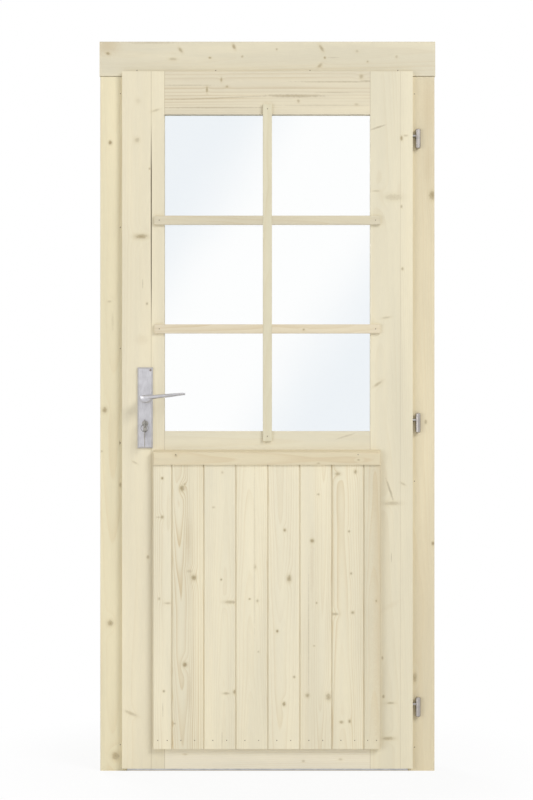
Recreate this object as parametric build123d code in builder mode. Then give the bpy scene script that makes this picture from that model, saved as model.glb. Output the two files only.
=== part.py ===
"""A glazed softwood door for a garden house, with its frame and ironmongery.

Millimetres. X runs along the doorway towards the hinges, Y from outdoors to indoors and Z up.
The origin is on the underside of the sill, midway between the posts, in the middle of the wall's thickness.
"""

import os

from build123d import *

# The frame and the wall it grips
opening_width = 778.0
opening_height = 1922.0
wall_channel = 45.0
post_thickness = 36.0
casing_width = 73.5
casing_thickness = 18.0
head_casing_height = 96.0
head_casing_overhang = 2.0
head_joint = 1.5
casing_arris = 1.5
sill_height = 22.0
strip_thickness = 2.0
strip_depth = 42.0
strip_foot = 2.0
strip_end_gap = 1.0
strip_nose = 1.6

# The leaf: a lip that laps the casings, and a body that stands between the posts
side_overlap = 12.0
head_overlap = 11.0
lip_foot = 9.0
side_gap = 2.0
head_gap = 3.0
foot_gap = 3.0
seat_gap = 0.5
leaf_thickness = 40.0
lip_thickness = 14.5
stile_width = 117.0
top_rail_height = 119.0
middle_rail_height = 117.0
bottom_rail_height = 117.0
glass_sill = 940.0
tenon_length = 22.0
tenon_thickness = 12.0
tenon_shoulder = 16.0
crack_length = 577.0
crack_width = 3.0
crack_narrow_width = 2.4
crack_depth = 13.0
crack_head = 126.5
crack_inset = 80.5
crack_lean = 0.3

# The glass and what holds it
glass_thickness = 4.0
glass_setback = 12.0
glazing_rebate = 12.0
glass_edge_play = 2.0
bead_thickness = 14.0
bead_arris = 3.0
bar_width = 25.0
bar_thickness = 8.0
bar_lap = 27.0
bar_arris = 1.0
upper_bar_drop = 292.5
lower_bar_rise = 282.0

# The boarded panel and its weather bar
panel_lap = 30.0
first_board = 51.0
last_board = 46.0
last_board_lap = 27.0
full_boards = 6
board_thickness = 16.0
board_foot = 66.0
groove_bevel = 3.0
tongue_length = 6.0
tongue_thickness = 5.0
tongue_play = 0.2
tongue_setback = 8.0
weather_bar_drop = 92.0
weather_bar_height = 41.0
weather_bar_depth = 22.0
weather_bar_fall = 7.0
weather_bar_cover = 20.0
weather_bar_play = 0.3
weather_bar_end = 4.0

# Nails: lost-head nails, each in a hole of its own size. Casing nails are placed by shares of the opening
nail_radius = 1.4
nail_play = 0.05
casing_nail_length = 38.0
casing_nail_inset = 18.0
head_nail_rise = 16.0
lock_side_nails = (0.0375, 0.472, 0.608, 0.7825, 0.975)
hinge_side_nails = (0.034, 0.417, 0.9745)
head_nails = (-0.928, -0.3675, 0.303, 0.928)
inner_nails_a_side = 4
inner_nail_end = 90.0
panel_nail_length = 40.0
panel_nail_height = 90.0
panel_nail_inset = 18.0
panel_nail_spacing = 29.0
bar_nail_length = 25.0
bar_nail_inset = 13.0
weather_nail_length = 45.0
weather_nail_inset = 62.0
weather_nail_rise = 28.0

# The hinges: turned barrels in two halves, each with a shank screwed into the wood
hinge_rise = 178.0
hinge_drop = 174.0
hinge_standoff = 15.0
hinge_length = 54.0
hinge_split = 0.4
hinge_radius = 7.0
hinge_pin_radius = 4.0
hinge_pin_play = 0.05
hinge_pin_length = 20.0
hinge_pin_chamfer = 1.0
hinge_bore_spare = 1.0
hinge_shank_radius = 3.5
leaf_shank_length = 50.0
leaf_shank_drop = 19.0
frame_shank_length = 48.0
frame_shank_rise = 13.0
hinge_dome = 2.0

# The mortise lock
backset = 50.0
spindle_height = 1033.0
cylinder_drop = 72.0
lock_inset = 9.0
forend_height = 235.0
forend_width = 18.0
forend_thickness = 3.0
forend_rise = 75.0
case_height = 165.0
case_rise = 40.0
case_thickness = 15.0
case_depth = 74.0
case_wall = 1.5
fit_play = 0.2
follower_radius = 10.0
follower_collar_radius = 8.0
follower_arm_width = 5.0
follower_arm_reach = 18.0
latch_height = 30.0
latch_rise = 6.0
latch_thickness = 10.6
latch_throw = 12.0
latch_back = 17.0
latch_nose = 2.0
latch_curve_in = 3.84
latch_curve_out = 2.385
latch_tail_height = 8.0
latch_tail_rise = 17.0
latch_tail_thickness = 3.0
latch_lug_play = 0.5
latch_lug_width = 4.0
bolt_height = 30.0
bolt_drop = 34.0
bolt_thickness = 8.4
bolt_throw = 20.0
bolt_back = 25.0
bolt_tail_length = 32.0
bolt_tail_thickness = 3.0
bolt_tail_height = 22.0
strike_height = 170.0
strike_width = 17.0
strike_thickness = 2.0
strike_clearance = 1.5
keep_depth = 4.0
screw_radius = 2.0
screw_head_radius = 4.0
screw_head_depth = 1.5
lock_screw_length = 25.0
lock_screw_inset = 8.0

# The profile cylinder and its keys
cylinder_radius = 8.5
cylinder_web = 10.0
cylinder_height = 33.0
cylinder_outer_half = 35.0
cylinder_inner_half = 27.0
plug_radius = 6.5
plug_play = 0.05
cam_width = 10.0
cam_radius = 13.5
cam_play = 0.4
cylinder_screw_radius = 2.5
cylinder_screw_rise = 4.5
key_thickness = 2.2
blade_height = 8.0
blade_length = 24.0
key_neck = 2.0
key_tip_half = 1.6
key_tip_slope = 3.2
bow_lap = 1.0
bow_corner = 6.3
bow_length = 19.0
bow_height = 22.0
bow_hole_radius = 3.0
bow_hole_inset = 4.8
keyway_play = 0.1
key_end_play = 1.0
ring_radius = 10.0
ring_wire_radius = 0.75
ring_play = 0.05

# The handle plates and levers
plate_width = 42.0
plate_height = 223.0
plate_depth = 8.0
plate_rise = 83.0
plate_bevel = 4.0
plate_wall = 2.5
plate_boss_radius = 6.0
boss_lap = 1.0
corner_boss_radius = 4.5
plate_bolt_from_top = 16.5
plate_bolt_from_foot = 27.0
plate_bolt_radius = 2.5
plate_bolt_head = 4.0
corner_screw_side = 6.0
corner_screw_top = 8.0
corner_screw_depth = 20.0
corner_screw_head = 3.0
spindle_size = 8.0
spindle_play = 0.1
spindle_grip = 24.0
lever_play = 0.1
neck_length = 29.0
neck_half_width = 8.5
neck_half_height = 6.25
collar_radius = 10.0
collar_length = 5.0
elbow_radius = 12.0
grip_end = 106.0
grip_rise = 10.0
grip_tip_half_depth = 6.5
grip_tip_half_height = 3.0
heel_half_length = 17.0
heel_half_depth = 8.0
heel_ahead = 4.0
heel_drop = 15.0
heel_top = 3.0

# Places worked out from those sizes
half_opening = opening_width / 2
post_front = -wall_channel / 2
post_back = wall_channel / 2
casing_face = post_front - casing_thickness
inner_casing_face = post_back + casing_thickness
casing_edge = half_opening + casing_width
post_outside = half_opening + post_thickness
head_top = opening_height + head_casing_height
lip_back = casing_face - seat_gap
leaf_face = lip_back - lip_thickness
leaf_back = leaf_face + leaf_thickness
lip_half = half_opening + side_overlap
body_half = half_opening - side_gap
lip_top = opening_height + head_overlap
body_top = opening_height - head_gap
body_foot = sill_height + strip_thickness + foot_gap
stile_inside = lip_half - stile_width
glass_head = lip_top - top_rail_height
pane_front = leaf_face + glass_setback
pane_back = pane_front + glass_thickness
rebate_side = stile_inside + glazing_rebate
rebate_foot = glass_sill - glazing_rebate
rebate_head = glass_head + glazing_rebate
bar_face = leaf_face - bar_thickness
board_face = leaf_face - board_thickness
weather_bar_foot = glass_sill - weather_bar_drop
weather_nail_height = weather_bar_foot + weather_nail_rise
board_top = weather_bar_foot + weather_bar_cover
upper_bar_height = glass_head - upper_bar_drop
lower_bar_height = glass_sill + lower_bar_rise
panel_left = stile_inside + panel_lap
panel_right = stile_inside + last_board_lap
board_cover = (panel_left + panel_right - first_board - last_board) / full_boards
crack_middle = body_top - crack_head - crack_length / 2
hinge_top = opening_height - hinge_drop
hinge_heights = (hinge_rise, (hinge_rise + hinge_top) / 2, hinge_top)
hinge_x = lip_half + hinge_standoff
hinge_y = leaf_face + lip_thickness / 2
spindle_x = -(body_half - backset)
lock_y = casing_face + lock_inset
cylinder_z = spindle_height - cylinder_drop
forend_inside = -body_half + forend_thickness
case_back = forend_inside + case_depth
case_top = spindle_height + case_rise
case_foot = case_top - case_height
forend_top = spindle_height + forend_rise
forend_foot = forend_top - forend_height
latch_z = spindle_height + latch_rise
bolt_z = spindle_height - bolt_drop
strike_z = (latch_z + bolt_z) / 2
plate_face = leaf_face - plate_depth
plate_top = spindle_height + plate_rise
plate_foot = plate_top - plate_height
plate_bolts = [(spindle_x, plate_foot + plate_bolt_from_foot), (spindle_x, plate_top - plate_bolt_from_top)]
corner_screw = (spindle_x + plate_width / 2 - corner_screw_side, plate_top - corner_screw_top)
leaf_middle = (leaf_face + leaf_back) / 2
cylinder_front = lock_y - cylinder_outer_half
cylinder_end = lock_y + cylinder_inner_half
nail_hole = nail_radius + nail_play


def block(x, y, z, mode=Mode.ADD):
    """A rectangular block in the active part, between two limits along each axis."""
    middle = ((x[0] + x[1]) / 2, (y[0] + y[1]) / 2, (z[0] + z[1]) / 2)
    with Locations(middle):
        Box(x[1] - x[0], y[1] - y[0], z[1] - z[0], mode=mode)


def rods(points, radius, y, mode=Mode.ADD):
    """Round rods along Y at each (x, z) in the active part; subtracted, they are holes."""
    with Locations(*[(px, (y[0] + y[1]) / 2, pz) for px, pz in points]):
        Cylinder(radius, y[1] - y[0], rotation=(90, 0, 0), mode=mode)


def cross_rod(x, y, z, radius, mode=Mode.ADD):
    """A round rod along X in the active part, between the two limits in x."""
    with Locations(((x[0] + x[1]) / 2, y, z)):
        Cylinder(radius, abs(x[1] - x[0]), rotation=(0, 90, 0), mode=mode)


def across(y):
    """The plane across the doorway at depth y. Its normal points outdoors."""
    return Plane.XZ.offset(-y)


def save(name, part):
    """Label a finished piece and write it."""
    part.label = name
    export_step(part, f"parts/{name}.step")


def casing_nail_points(side):
    """Where the outer casing's nails go, as (x, z), on one upright or the head."""
    nail_x = half_opening + casing_nail_inset
    if side == "head":
        return [(share * half_opening, opening_height + head_nail_rise) for share in head_nails]
    if side == "lock":
        return [(-nail_x, share * opening_height) for share in lock_side_nails]
    return [(nail_x, share * opening_height) for share in hinge_side_nails]


def inner_nail_points(side):
    """Where the inner casing's nails go, evenly spaced, as (x, z)."""
    nail_x = half_opening + casing_nail_inset
    if side == "head":
        step = (opening_width - 2 * inner_nail_end) / (inner_nails_a_side - 1)
        first = inner_nail_end - half_opening
        height = opening_height + head_nail_rise
        return [(first + k * step, height) for k in range(inner_nails_a_side)]
    step = (opening_height - 2 * inner_nail_end) / (inner_nails_a_side - 1)
    x = -nail_x if side == "lock" else nail_x
    return [(x, inner_nail_end + k * step) for k in range(inner_nails_a_side)]


outer_nail_y = (casing_face, casing_face + casing_nail_length)
inner_nail_y = (inner_casing_face - casing_nail_length, inner_casing_face)


def drill_casing_nails(side):
    """Cut one side's nail holes through whatever piece of the frame is active."""
    rods(casing_nail_points(side), nail_hole, outer_nail_y, mode=Mode.SUBTRACT)
    rods(inner_nail_points(side), nail_hole, inner_nail_y, mode=Mode.SUBTRACT)


def drill_frame_shanks():
    """Cut the holes for the lower hinge halves' shanks, from the face into the post."""
    holes = [(hinge_x, z - frame_shank_rise) for z in hinge_heights]
    drilled = (casing_face, hinge_y + frame_shank_length)
    rods(holes, hinge_shank_radius + nail_play, drilled, mode=Mode.SUBTRACT)


def cut_strike_seat():
    """Cut the strike plate's recess and the two keeps behind it."""
    seat_x = (-half_opening - strike_thickness, -half_opening)
    seat_y = (lock_y - strike_width / 2, lock_y + strike_width / 2)
    seat_z = (strike_z - strike_height / 2, strike_z + strike_height / 2)
    block(seat_x, seat_y, seat_z, mode=Mode.SUBTRACT)
    for z, height, thickness, reach in (
        (latch_z, latch_height, latch_thickness, body_half + latch_throw),
        (bolt_z, bolt_height, bolt_thickness, body_half + bolt_throw),
    ):
        half_y = thickness / 2 + strike_clearance
        half_z = height / 2 + strike_clearance
        keep_x = (-reach - keep_depth, -half_opening)
        block(keep_x, (lock_y - half_y, lock_y + half_y), (z - half_z, z + half_z), mode=Mode.SUBTRACT)


strike_screw_heights = (
    strike_z - strike_height / 2 + lock_screw_inset,
    strike_z + strike_height / 2 - lock_screw_inset,
)


def lock_screw(head_x, tip_x, z, play=0.0, radius=screw_radius, head=screw_head_radius):
    """A countersunk screw along X on the lock's line; with play, the hole for it."""
    way = 1 if tip_x > head_x else -1
    under = head_x + way * screw_head_depth
    with BuildSketch(Plane.XY) as half_profile:
        with BuildLine():
            Polyline(
                (head_x, 0),
                (head_x, head + play),
                (under, radius + play),
                (tip_x, radius + play),
                (tip_x, 0),
                close=True,
            )
        make_face()
    turned = revolve(half_profile.sketch, axis=Axis.X, mode=Mode.PRIVATE)
    return Pos(0, lock_y, z) * turned


def drill_strike_screws():
    """Cut the strike plate's screw holes through the active part."""
    head_x = -half_opening
    for z in strike_screw_heights:
        add(lock_screw(head_x, head_x - lock_screw_length, z, play=nail_play), mode=Mode.SUBTRACT)


# Posts, head beam and sill

with BuildPart() as post_lock_side:
    block((-post_outside, -half_opening), (post_front, post_back), (0, opening_height))
    drill_casing_nails("lock")

with BuildPart() as post_hinge_side:
    block((half_opening, post_outside), (post_front, post_back), (0, opening_height))
    drill_casing_nails("hinge")
    drill_frame_shanks()

with BuildPart() as head_beam:
    beam_z = (opening_height, opening_height + post_thickness)
    block((-post_outside, post_outside), (post_front, post_back), beam_z)
    drill_casing_nails("head")

with BuildPart() as sill:
    sill_y = (casing_face + strip_thickness, inner_casing_face)
    block((-half_opening, half_opening), sill_y, (0, sill_height))

with BuildPart() as sill_strip:
    with BuildSketch(Plane.YZ.offset(strip_end_gap - half_opening)):
        with BuildLine():
            top = sill_height + strip_thickness
            Polyline(
                (casing_face, strip_foot),
                (casing_face, top),
                (casing_face + strip_depth, top),
                (casing_face + strip_depth, sill_height),
                (casing_face + strip_thickness, sill_height),
                (casing_face + strip_thickness, strip_foot),
                close=True,
            )
        make_face()
    extrude(amount=opening_width - 2 * strip_end_gap)
    nose = sill_strip.edges().filter_by(Axis.X).sort_by(lambda e: e.center().Z - e.center().Y)[-1]
    fillet(nose, strip_nose)


# Casings: flat boards nailed over the posts and the beam, leaving a channel for the wall


def upright_casing(side, face, back, outdoors):
    """One upright casing board, its front arrises eased."""
    sign = -1 if side == "lock" else 1
    board_x = sorted((sign * half_opening, sign * casing_edge))
    with BuildPart() as casing:
        block(board_x, sorted((face, back)), (0, opening_height - head_joint))
        rows = casing.edges().filter_by(Axis.Z).group_by(Axis.Y)
        chamfer(rows[0] if outdoors else rows[-1], casing_arris)
        drill_casing_nails(side)
        if outdoors and side == "hinge":
            drill_frame_shanks()
        if outdoors and side == "lock":
            cut_strike_seat()
            drill_strike_screws()
    return casing


def head_casing(face, back, outdoors):
    """The head casing, which laps a little past the uprights."""
    half = casing_edge + head_casing_overhang
    with BuildPart() as casing:
        block((-half, half), sorted((face, back)), (opening_height, head_top))
        rows = casing.edges().filter_by(Axis.X).group_by(Axis.Y)
        chamfer(rows[0] if outdoors else rows[-1], casing_arris)
        drill_casing_nails("head")
    return casing


outer_casing_lock_side = upright_casing("lock", casing_face, post_front, True)
outer_casing_hinge_side = upright_casing("hinge", casing_face, post_front, True)
outer_casing_head = head_casing(casing_face, post_front, True)
inner_casing_lock_side = upright_casing("lock", inner_casing_face, post_back, False)
inner_casing_hinge_side = upright_casing("hinge", inner_casing_face, post_back, False)
inner_casing_head = head_casing(inner_casing_face, post_back, False)

with BuildPart() as casing_nails:
    for side in ("lock", "hinge", "head"):
        rods(casing_nail_points(side), nail_radius, outer_nail_y)
        rods(inner_nail_points(side), nail_radius, inner_nail_y)


# The strike plate, flush in the edge of the casing, with its two screws

with BuildPart() as strike_plate:
    plate_x = (-half_opening - strike_thickness, -half_opening)
    plate_y = (lock_y - strike_width / 2, lock_y + strike_width / 2)
    block(plate_x, plate_y, (strike_z - strike_height / 2, strike_z + strike_height / 2))
    fillet(strike_plate.edges().filter_by(Axis.X), strike_thickness)
    for z, height, thickness in (
        (latch_z, latch_height, latch_thickness),
        (bolt_z, bolt_height, bolt_thickness),
    ):
        half_y = thickness / 2 + strike_clearance
        half_z = height / 2 + strike_clearance
        block(plate_x, (lock_y - half_y, lock_y + half_y), (z - half_z, z + half_z), mode=Mode.SUBTRACT)
    drill_strike_screws()

with BuildPart() as strike_screws:
    for z in strike_screw_heights:
        add(lock_screw(-half_opening, -half_opening - lock_screw_length, z))


# Hinges: the lower half stands on the frame and carries the pin, the upper half turns on it


def lower_hinge_half(z):
    """A lower half: barrel, pin and the shank that goes back into the post."""
    with BuildPart() as half:
        with BuildSketch(Plane.XZ.offset(-hinge_y)) as outline:
            with BuildLine():
                foot = z - hinge_length / 2
                top = z - hinge_split / 2
                Polyline(
                    (hinge_x, foot),
                    (hinge_x + hinge_radius - hinge_dome, foot),
                    (hinge_x + hinge_radius, foot + hinge_dome),
                    (hinge_x + hinge_radius, top),
                    (hinge_x + hinge_pin_radius, top),
                    (hinge_x + hinge_pin_radius, z + hinge_pin_length - hinge_pin_chamfer),
                    (hinge_x + hinge_pin_radius - hinge_pin_chamfer, z + hinge_pin_length),
                    (hinge_x, z + hinge_pin_length),
                    close=True,
                )
            make_face()
        revolve(outline.sketch, axis=Axis((hinge_x, hinge_y, 0), (0, 0, 1)))
        shank_y = (hinge_y, hinge_y + frame_shank_length)
        rods([(hinge_x, z - frame_shank_rise)], hinge_shank_radius, shank_y)
    return half


def upper_hinge_half(z):
    """An upper half: a bored barrel with its shank going sideways into the leaf's lip."""
    with BuildPart() as half:
        with BuildSketch(Plane.XY.offset(z + hinge_split / 2)):
            with Locations((hinge_x, hinge_y)):
                Circle(hinge_radius)
        extrude(amount=(hinge_length - hinge_split) / 2)
        chamfer(half.edges().group_by(Axis.Z)[-1], hinge_dome)
        shank_z = z + hinge_length / 2 - leaf_shank_drop
        cross_rod((hinge_x - leaf_shank_length, hinge_x), hinge_y, shank_z, hinge_shank_radius)
        with BuildSketch(Plane.XY.offset(z + hinge_split / 2)):
            with Locations((hinge_x, hinge_y)):
                Circle(hinge_pin_radius + hinge_pin_play)
        extrude(amount=hinge_pin_length + hinge_bore_spare, mode=Mode.SUBTRACT)
    return half


lower_halves = [lower_hinge_half(z) for z in hinge_heights]
upper_halves = [upper_hinge_half(z) for z in hinge_heights]


# Nails of the leaf, by what they hold

bar_nail_x = stile_inside + bar_lap - bar_nail_inset
bar_nails_sides = [(s * bar_nail_x, z) for s in (-1, 1) for z in (lower_bar_height, upper_bar_height)]
bar_nails_rails = [(0, glass_sill - bar_lap + bar_nail_inset), (0, glass_head + bar_lap - bar_nail_inset)]
bar_nail_y = (bar_face, bar_face + bar_nail_length)
weather_nail_xs = (-panel_left + weather_nail_inset, panel_right - weather_nail_inset)
weather_nails = [(x, weather_nail_height) for x in weather_nail_xs]
weather_bar_face = leaf_face - weather_bar_depth
weather_nail_y = (weather_bar_face, weather_bar_face + weather_nail_length)
panel_nail_y = (board_face, board_face + panel_nail_length)


def board_span(k):
    """The left and right cover edges of board k, counted from the lock side."""
    left = -panel_left if k == 0 else -panel_left + first_board + (k - 1) * board_cover
    if k == 0:
        return (left, left + first_board)
    if k == full_boards + 1:
        return (left, left + last_board)
    return (left, left + board_cover)


def board_nails(k):
    """The two nails at the foot of board k, as (x, z)."""
    left, right = board_span(k)
    spacing = panel_nail_spacing * (right - left) / board_cover + panel_nail_inset / 2
    middle = (left + right) / 2
    return [(middle - spacing / 2, panel_nail_height), (middle + spacing / 2, panel_nail_height)]


boards_in_all = full_boards + 2
panel_nails = [point for k in range(boards_in_all) for point in board_nails(k)]


def board(k):
    """A tongued and grooved board: groove at the left, tongue at the right, both arrises bevelled."""
    left, right = board_span(k)
    back = leaf_face
    centre = board_face + tongue_setback + tongue_thickness / 2
    tongue = (centre - tongue_thickness / 2, centre + tongue_thickness / 2)
    groove = (tongue[0] - tongue_play, tongue[1] + tongue_play)
    depth = tongue_length + 2 * tongue_play
    left_side = [(left, back), (left, board_face)]
    if k > 0:
        left_side = [
            (left, back),
            (left, groove[1]),
            (left + depth, groove[1]),
            (left + depth, groove[0]),
            (left, groove[0]),
            (left, board_face + groove_bevel),
            (left + groove_bevel, board_face),
        ]
    right_side = [(right, board_face), (right, back)]
    if k < boards_in_all - 1:
        right_side = [
            (right - groove_bevel, board_face),
            (right, board_face + groove_bevel),
            (right, tongue[0]),
            (right + tongue_length, tongue[0]),
            (right + tongue_length, tongue[1]),
            (right, tongue[1]),
            (right, back),
        ]
    with BuildPart() as piece:
        with BuildSketch(Plane.XY.offset(board_foot)):
            with BuildLine():
                Polyline(*left_side, *right_side, close=True)
            make_face()
        extrude(amount=board_top - weather_bar_play - board_foot)
        rods(board_nails(k), nail_hole, panel_nail_y, mode=Mode.SUBTRACT)
    return piece


boards = [board(k) for k in range(boards_in_all)]

with BuildPart() as weather_bar:
    with BuildSketch(Plane.YZ.offset(-panel_left)):
        with BuildLine():
            top = weather_bar_foot + weather_bar_height
            Polyline(
                (leaf_face, top),
                (leaf_face, board_top),
                (board_face - weather_bar_play, board_top),
                (board_face - weather_bar_play, weather_bar_foot),
                (weather_bar_face, weather_bar_foot),
                (weather_bar_face, top - weather_bar_fall),
                close=True,
            )
        make_face()
    extrude(amount=panel_left + panel_right)
    front = weather_bar.edges().filter_by(Axis.Z).group_by(Axis.Y)[0]
    fillet(front, weather_bar_end)
    rods(weather_nails, nail_hole, weather_nail_y, mode=Mode.SUBTRACT)


# Leaf frame: stiles and rails, lapping the casings with a lip and tenoned together


def tenon_y():
    """The tenons' two faces, in the middle of the body behind the glazing rebate."""
    middle = (pane_back + leaf_back) / 2
    return (middle - tenon_thickness / 2, middle + tenon_thickness / 2)


rails = {
    "rail_top": (glass_head, lip_top),
    "rail_middle": (glass_sill - middle_rail_height, glass_sill),
    "rail_bottom": (lip_foot, lip_foot + bottom_rail_height),
}


def tenon_z(foot, top):
    """The tenon's lower and upper faces in a rail between these two heights."""
    return (max(foot, body_foot) + tenon_shoulder, min(top, body_top) - tenon_shoulder)


def cut_glass_rebate():
    """Cut the rebate that holds the pane and its beads, open to indoors."""
    rebate = ((-rebate_side, rebate_side), (pane_front, leaf_back), (rebate_foot, rebate_head))
    block(*rebate, mode=Mode.SUBTRACT)


def rail(name, nails):
    """One rail between the stiles, with a tenon at each end and holes for its nails."""
    foot, top = rails[name]
    with BuildPart() as piece:
        block((-stile_inside, stile_inside), (leaf_face, lip_back), (foot, top))
        body_z = (max(foot, body_foot), min(top, body_top))
        block((-stile_inside, stile_inside), (lip_back, leaf_back), body_z)
        tenon_half = stile_inside + tenon_length
        block((-tenon_half, tenon_half), tenon_y(), tenon_z(foot, top))
        if name != "rail_bottom":
            cut_glass_rebate()
        for points, depth in nails:
            rods(points, nail_hole, depth, mode=Mode.SUBTRACT)
    return piece


def cut_mortises(sign):
    """Cut the three mortises into the stile on this side."""
    far = stile_inside + tenon_length
    for foot, top in rails.values():
        mortise_x = sorted((sign * stile_inside, sign * far))
        block(mortise_x, tenon_y(), tenon_z(foot, top), mode=Mode.SUBTRACT)


def shape_stile(sign):
    """Build one stile in the active part: lip, body, mortises and glazing rebate."""
    lip_x = sorted((sign * stile_inside, sign * lip_half))
    block(lip_x, (leaf_face, lip_back), (lip_foot, lip_top))
    body_x = sorted((sign * stile_inside, sign * body_half))
    block(body_x, (lip_back, leaf_back), (body_foot, body_top))
    cut_mortises(sign)
    cut_glass_rebate()
    bar_side = [point for point in bar_nails_sides if point[0] * sign > 0]
    rods(bar_side, nail_hole, bar_nail_y, mode=Mode.SUBTRACT)
    panel_side = [point for point in panel_nails if point[0] * sign > stile_inside - nail_hole]
    if panel_side:
        rods(panel_side, nail_hole, panel_nail_y, mode=Mode.SUBTRACT)


rail_top = rail("rail_top", [(bar_nails_rails[1:], bar_nail_y)])
rail_middle = rail("rail_middle", [(bar_nails_rails[:1], bar_nail_y), (weather_nails, weather_nail_y)])
rail_bottom = rail("rail_bottom", [(panel_nails, panel_nail_y)])

with BuildPart() as stile_hinge_side:
    shape_stile(1)
    for z in hinge_heights:
        shank_z = z + hinge_length / 2 - leaf_shank_drop
        shank_x = (hinge_x - leaf_shank_length, lip_half)
        cross_rod(shank_x, hinge_y, shank_z, hinge_shank_radius + nail_play, mode=Mode.SUBTRACT)


def lock_block(x, half_y, z, mode=Mode.ADD):
    """A block centred on the lock's plane, between limits in x and z."""
    block(x, (lock_y - half_y, lock_y + half_y), z, mode=mode)


def profile_section(play):
    """The cylinder's outline, a round barrel over a round-footed web, as a sketch to extrude."""
    radius = cylinder_radius + play
    web = cylinder_web / 2 + play
    foot = cylinder_z + cylinder_radius - cylinder_height - play
    with BuildSketch(across(0)) as outline:
        with Locations((spindle_x, cylinder_z)):
            Circle(radius)
        with Locations((spindle_x, (cylinder_z + foot + web) / 2)):
            Rectangle(2 * web, cylinder_z - foot - web)
        with Locations((spindle_x, foot + web)):
            Circle(web)
    return outline.sketch


def through_profile(play, y, mode=Mode.ADD):
    """Extrude the cylinder's outline between two depths in the active part."""
    outline = Pos(0, y[1], 0) * profile_section(play)
    extrude(outline, amount=y[1] - y[0], mode=mode)


screw_heights = (forend_foot + lock_screw_inset, forend_top - lock_screw_inset)
cylinder_screw_z = cylinder_z + cylinder_radius - cylinder_height + cylinder_screw_rise


def forend_screw_solids(play=0.0):
    """The two wood screws of the forend and the long screw that holds the cylinder."""
    wood = [
        lock_screw(-body_half, lock_screw_length - body_half, z, play=play) for z in screw_heights
    ]
    tip_x = spindle_x + cylinder_web / 2
    long = lock_screw(-body_half, tip_x, cylinder_screw_z, play=play, radius=cylinder_screw_radius)
    return [*wood, long]


with BuildPart() as stile_lock_side:
    shape_stile(-1)
    # the mortise for the lock case, the recess for its forend, and the bores through the face
    case_y = case_thickness / 2 + fit_play
    case_z = (case_foot - fit_play, case_top + fit_play)
    lock_block((forend_inside, case_back + fit_play), case_y, case_z, Mode.SUBTRACT)
    forend_y = forend_width / 2 + fit_play
    forend_z = (forend_foot - fit_play, forend_top + fit_play)
    lock_block((-body_half, forend_inside), forend_y, forend_z, Mode.SUBTRACT)
    rods([(spindle_x, spindle_height)], collar_radius, (leaf_face, leaf_back), mode=Mode.SUBTRACT)
    through_profile(2 * fit_play, (leaf_face, leaf_back), mode=Mode.SUBTRACT)
    rods(plate_bolts, plate_bolt_radius + fit_play, (leaf_face, leaf_back), mode=Mode.SUBTRACT)
    corner_y = (leaf_face, leaf_face + corner_screw_depth)
    rods([corner_screw], screw_radius + nail_play, corner_y, mode=Mode.SUBTRACT)
    for solid in forend_screw_solids(play=nail_play):
        add(solid, mode=Mode.SUBTRACT)
    # the open drying crack along the glue line
    with BuildSketch(across(leaf_face)) as crack:
        crack_x = -lip_half + crack_inset
        with BuildLine():
            half = crack_length / 2
            quarter = crack_length / 4
            Polyline(
                (crack_x + crack_lean, crack_middle - half),
                (crack_x + crack_narrow_width / 2, crack_middle - quarter),
                (crack_x + crack_width / 2, crack_middle + quarter),
                (crack_x - crack_lean, crack_middle + half),
                (crack_x - crack_width / 2, crack_middle + quarter),
                (crack_x - crack_narrow_width / 2, crack_middle - quarter),
                close=True,
            )
        make_face()
    extrude(crack.sketch, amount=-crack_depth, mode=Mode.SUBTRACT)


# Glass, its beads indoors and the bars planted outdoors

with BuildPart() as glass_pane:
    edge = glass_edge_play
    pane_z = (rebate_foot + edge, rebate_head - edge)
    block((edge - rebate_side, rebate_side - edge), (pane_front, pane_back), pane_z)


def bead(low, high, axis, edge_at):
    """One glazing bead between two (x, z) corners, its long indoor arris bevelled."""
    with BuildPart() as piece:
        block((low[0], high[0]), (pane_back, pane_back + bead_thickness), (low[1], high[1]))
        indoor = piece.edges().filter_by(axis).group_by(Axis.Y)[-1]
        across_axis = Axis.Z if axis == Axis.X else Axis.X
        chamfer(indoor.sort_by(across_axis)[edge_at], bead_arris)
    return piece


bead_bottom = bead((-rebate_side, rebate_foot), (rebate_side, glass_sill), Axis.X, -1)
bead_top = bead((-rebate_side, glass_head), (rebate_side, rebate_head), Axis.X, 0)
bead_lock_side = bead((-rebate_side, glass_sill), (-stile_inside, glass_head), Axis.Z, -1)
bead_hinge_side = bead((stile_inside, glass_sill), (rebate_side, glass_head), Axis.Z, 0)

half_bar = bar_width / 2
lap_y = (bar_face + bar_thickness / 2, leaf_face)

with BuildPart() as bar_vertical:
    bar_z = (glass_sill - bar_lap, glass_head + bar_lap)
    block((-half_bar, half_bar), (bar_face, leaf_face), bar_z)
    chamfer(bar_vertical.edges().filter_by(Axis.Z).group_by(Axis.Y)[0], bar_arris)
    for z in (lower_bar_height, upper_bar_height):
        block((-half_bar, half_bar), lap_y, (z - half_bar, z + half_bar), mode=Mode.SUBTRACT)
    rods(bar_nails_rails, nail_hole, bar_nail_y, mode=Mode.SUBTRACT)


def bar_across(z):
    """A bar from stile to stile, halved behind the vertical one."""
    reach = stile_inside + bar_lap
    with BuildPart() as piece:
        block((-reach, reach), (bar_face, leaf_face), (z - half_bar, z + half_bar))
        chamfer(piece.edges().filter_by(Axis.X).group_by(Axis.Y)[0], bar_arris)
        half = (bar_face, bar_face + bar_thickness / 2)
        block((-half_bar, half_bar), half, (z - half_bar, z + half_bar), mode=Mode.SUBTRACT)
        ends = [point for point in bar_nails_sides if point[1] == z]
        rods(ends, nail_hole, bar_nail_y, mode=Mode.SUBTRACT)
    return piece


bar_lower = bar_across(lower_bar_height)
bar_upper = bar_across(upper_bar_height)

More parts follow.
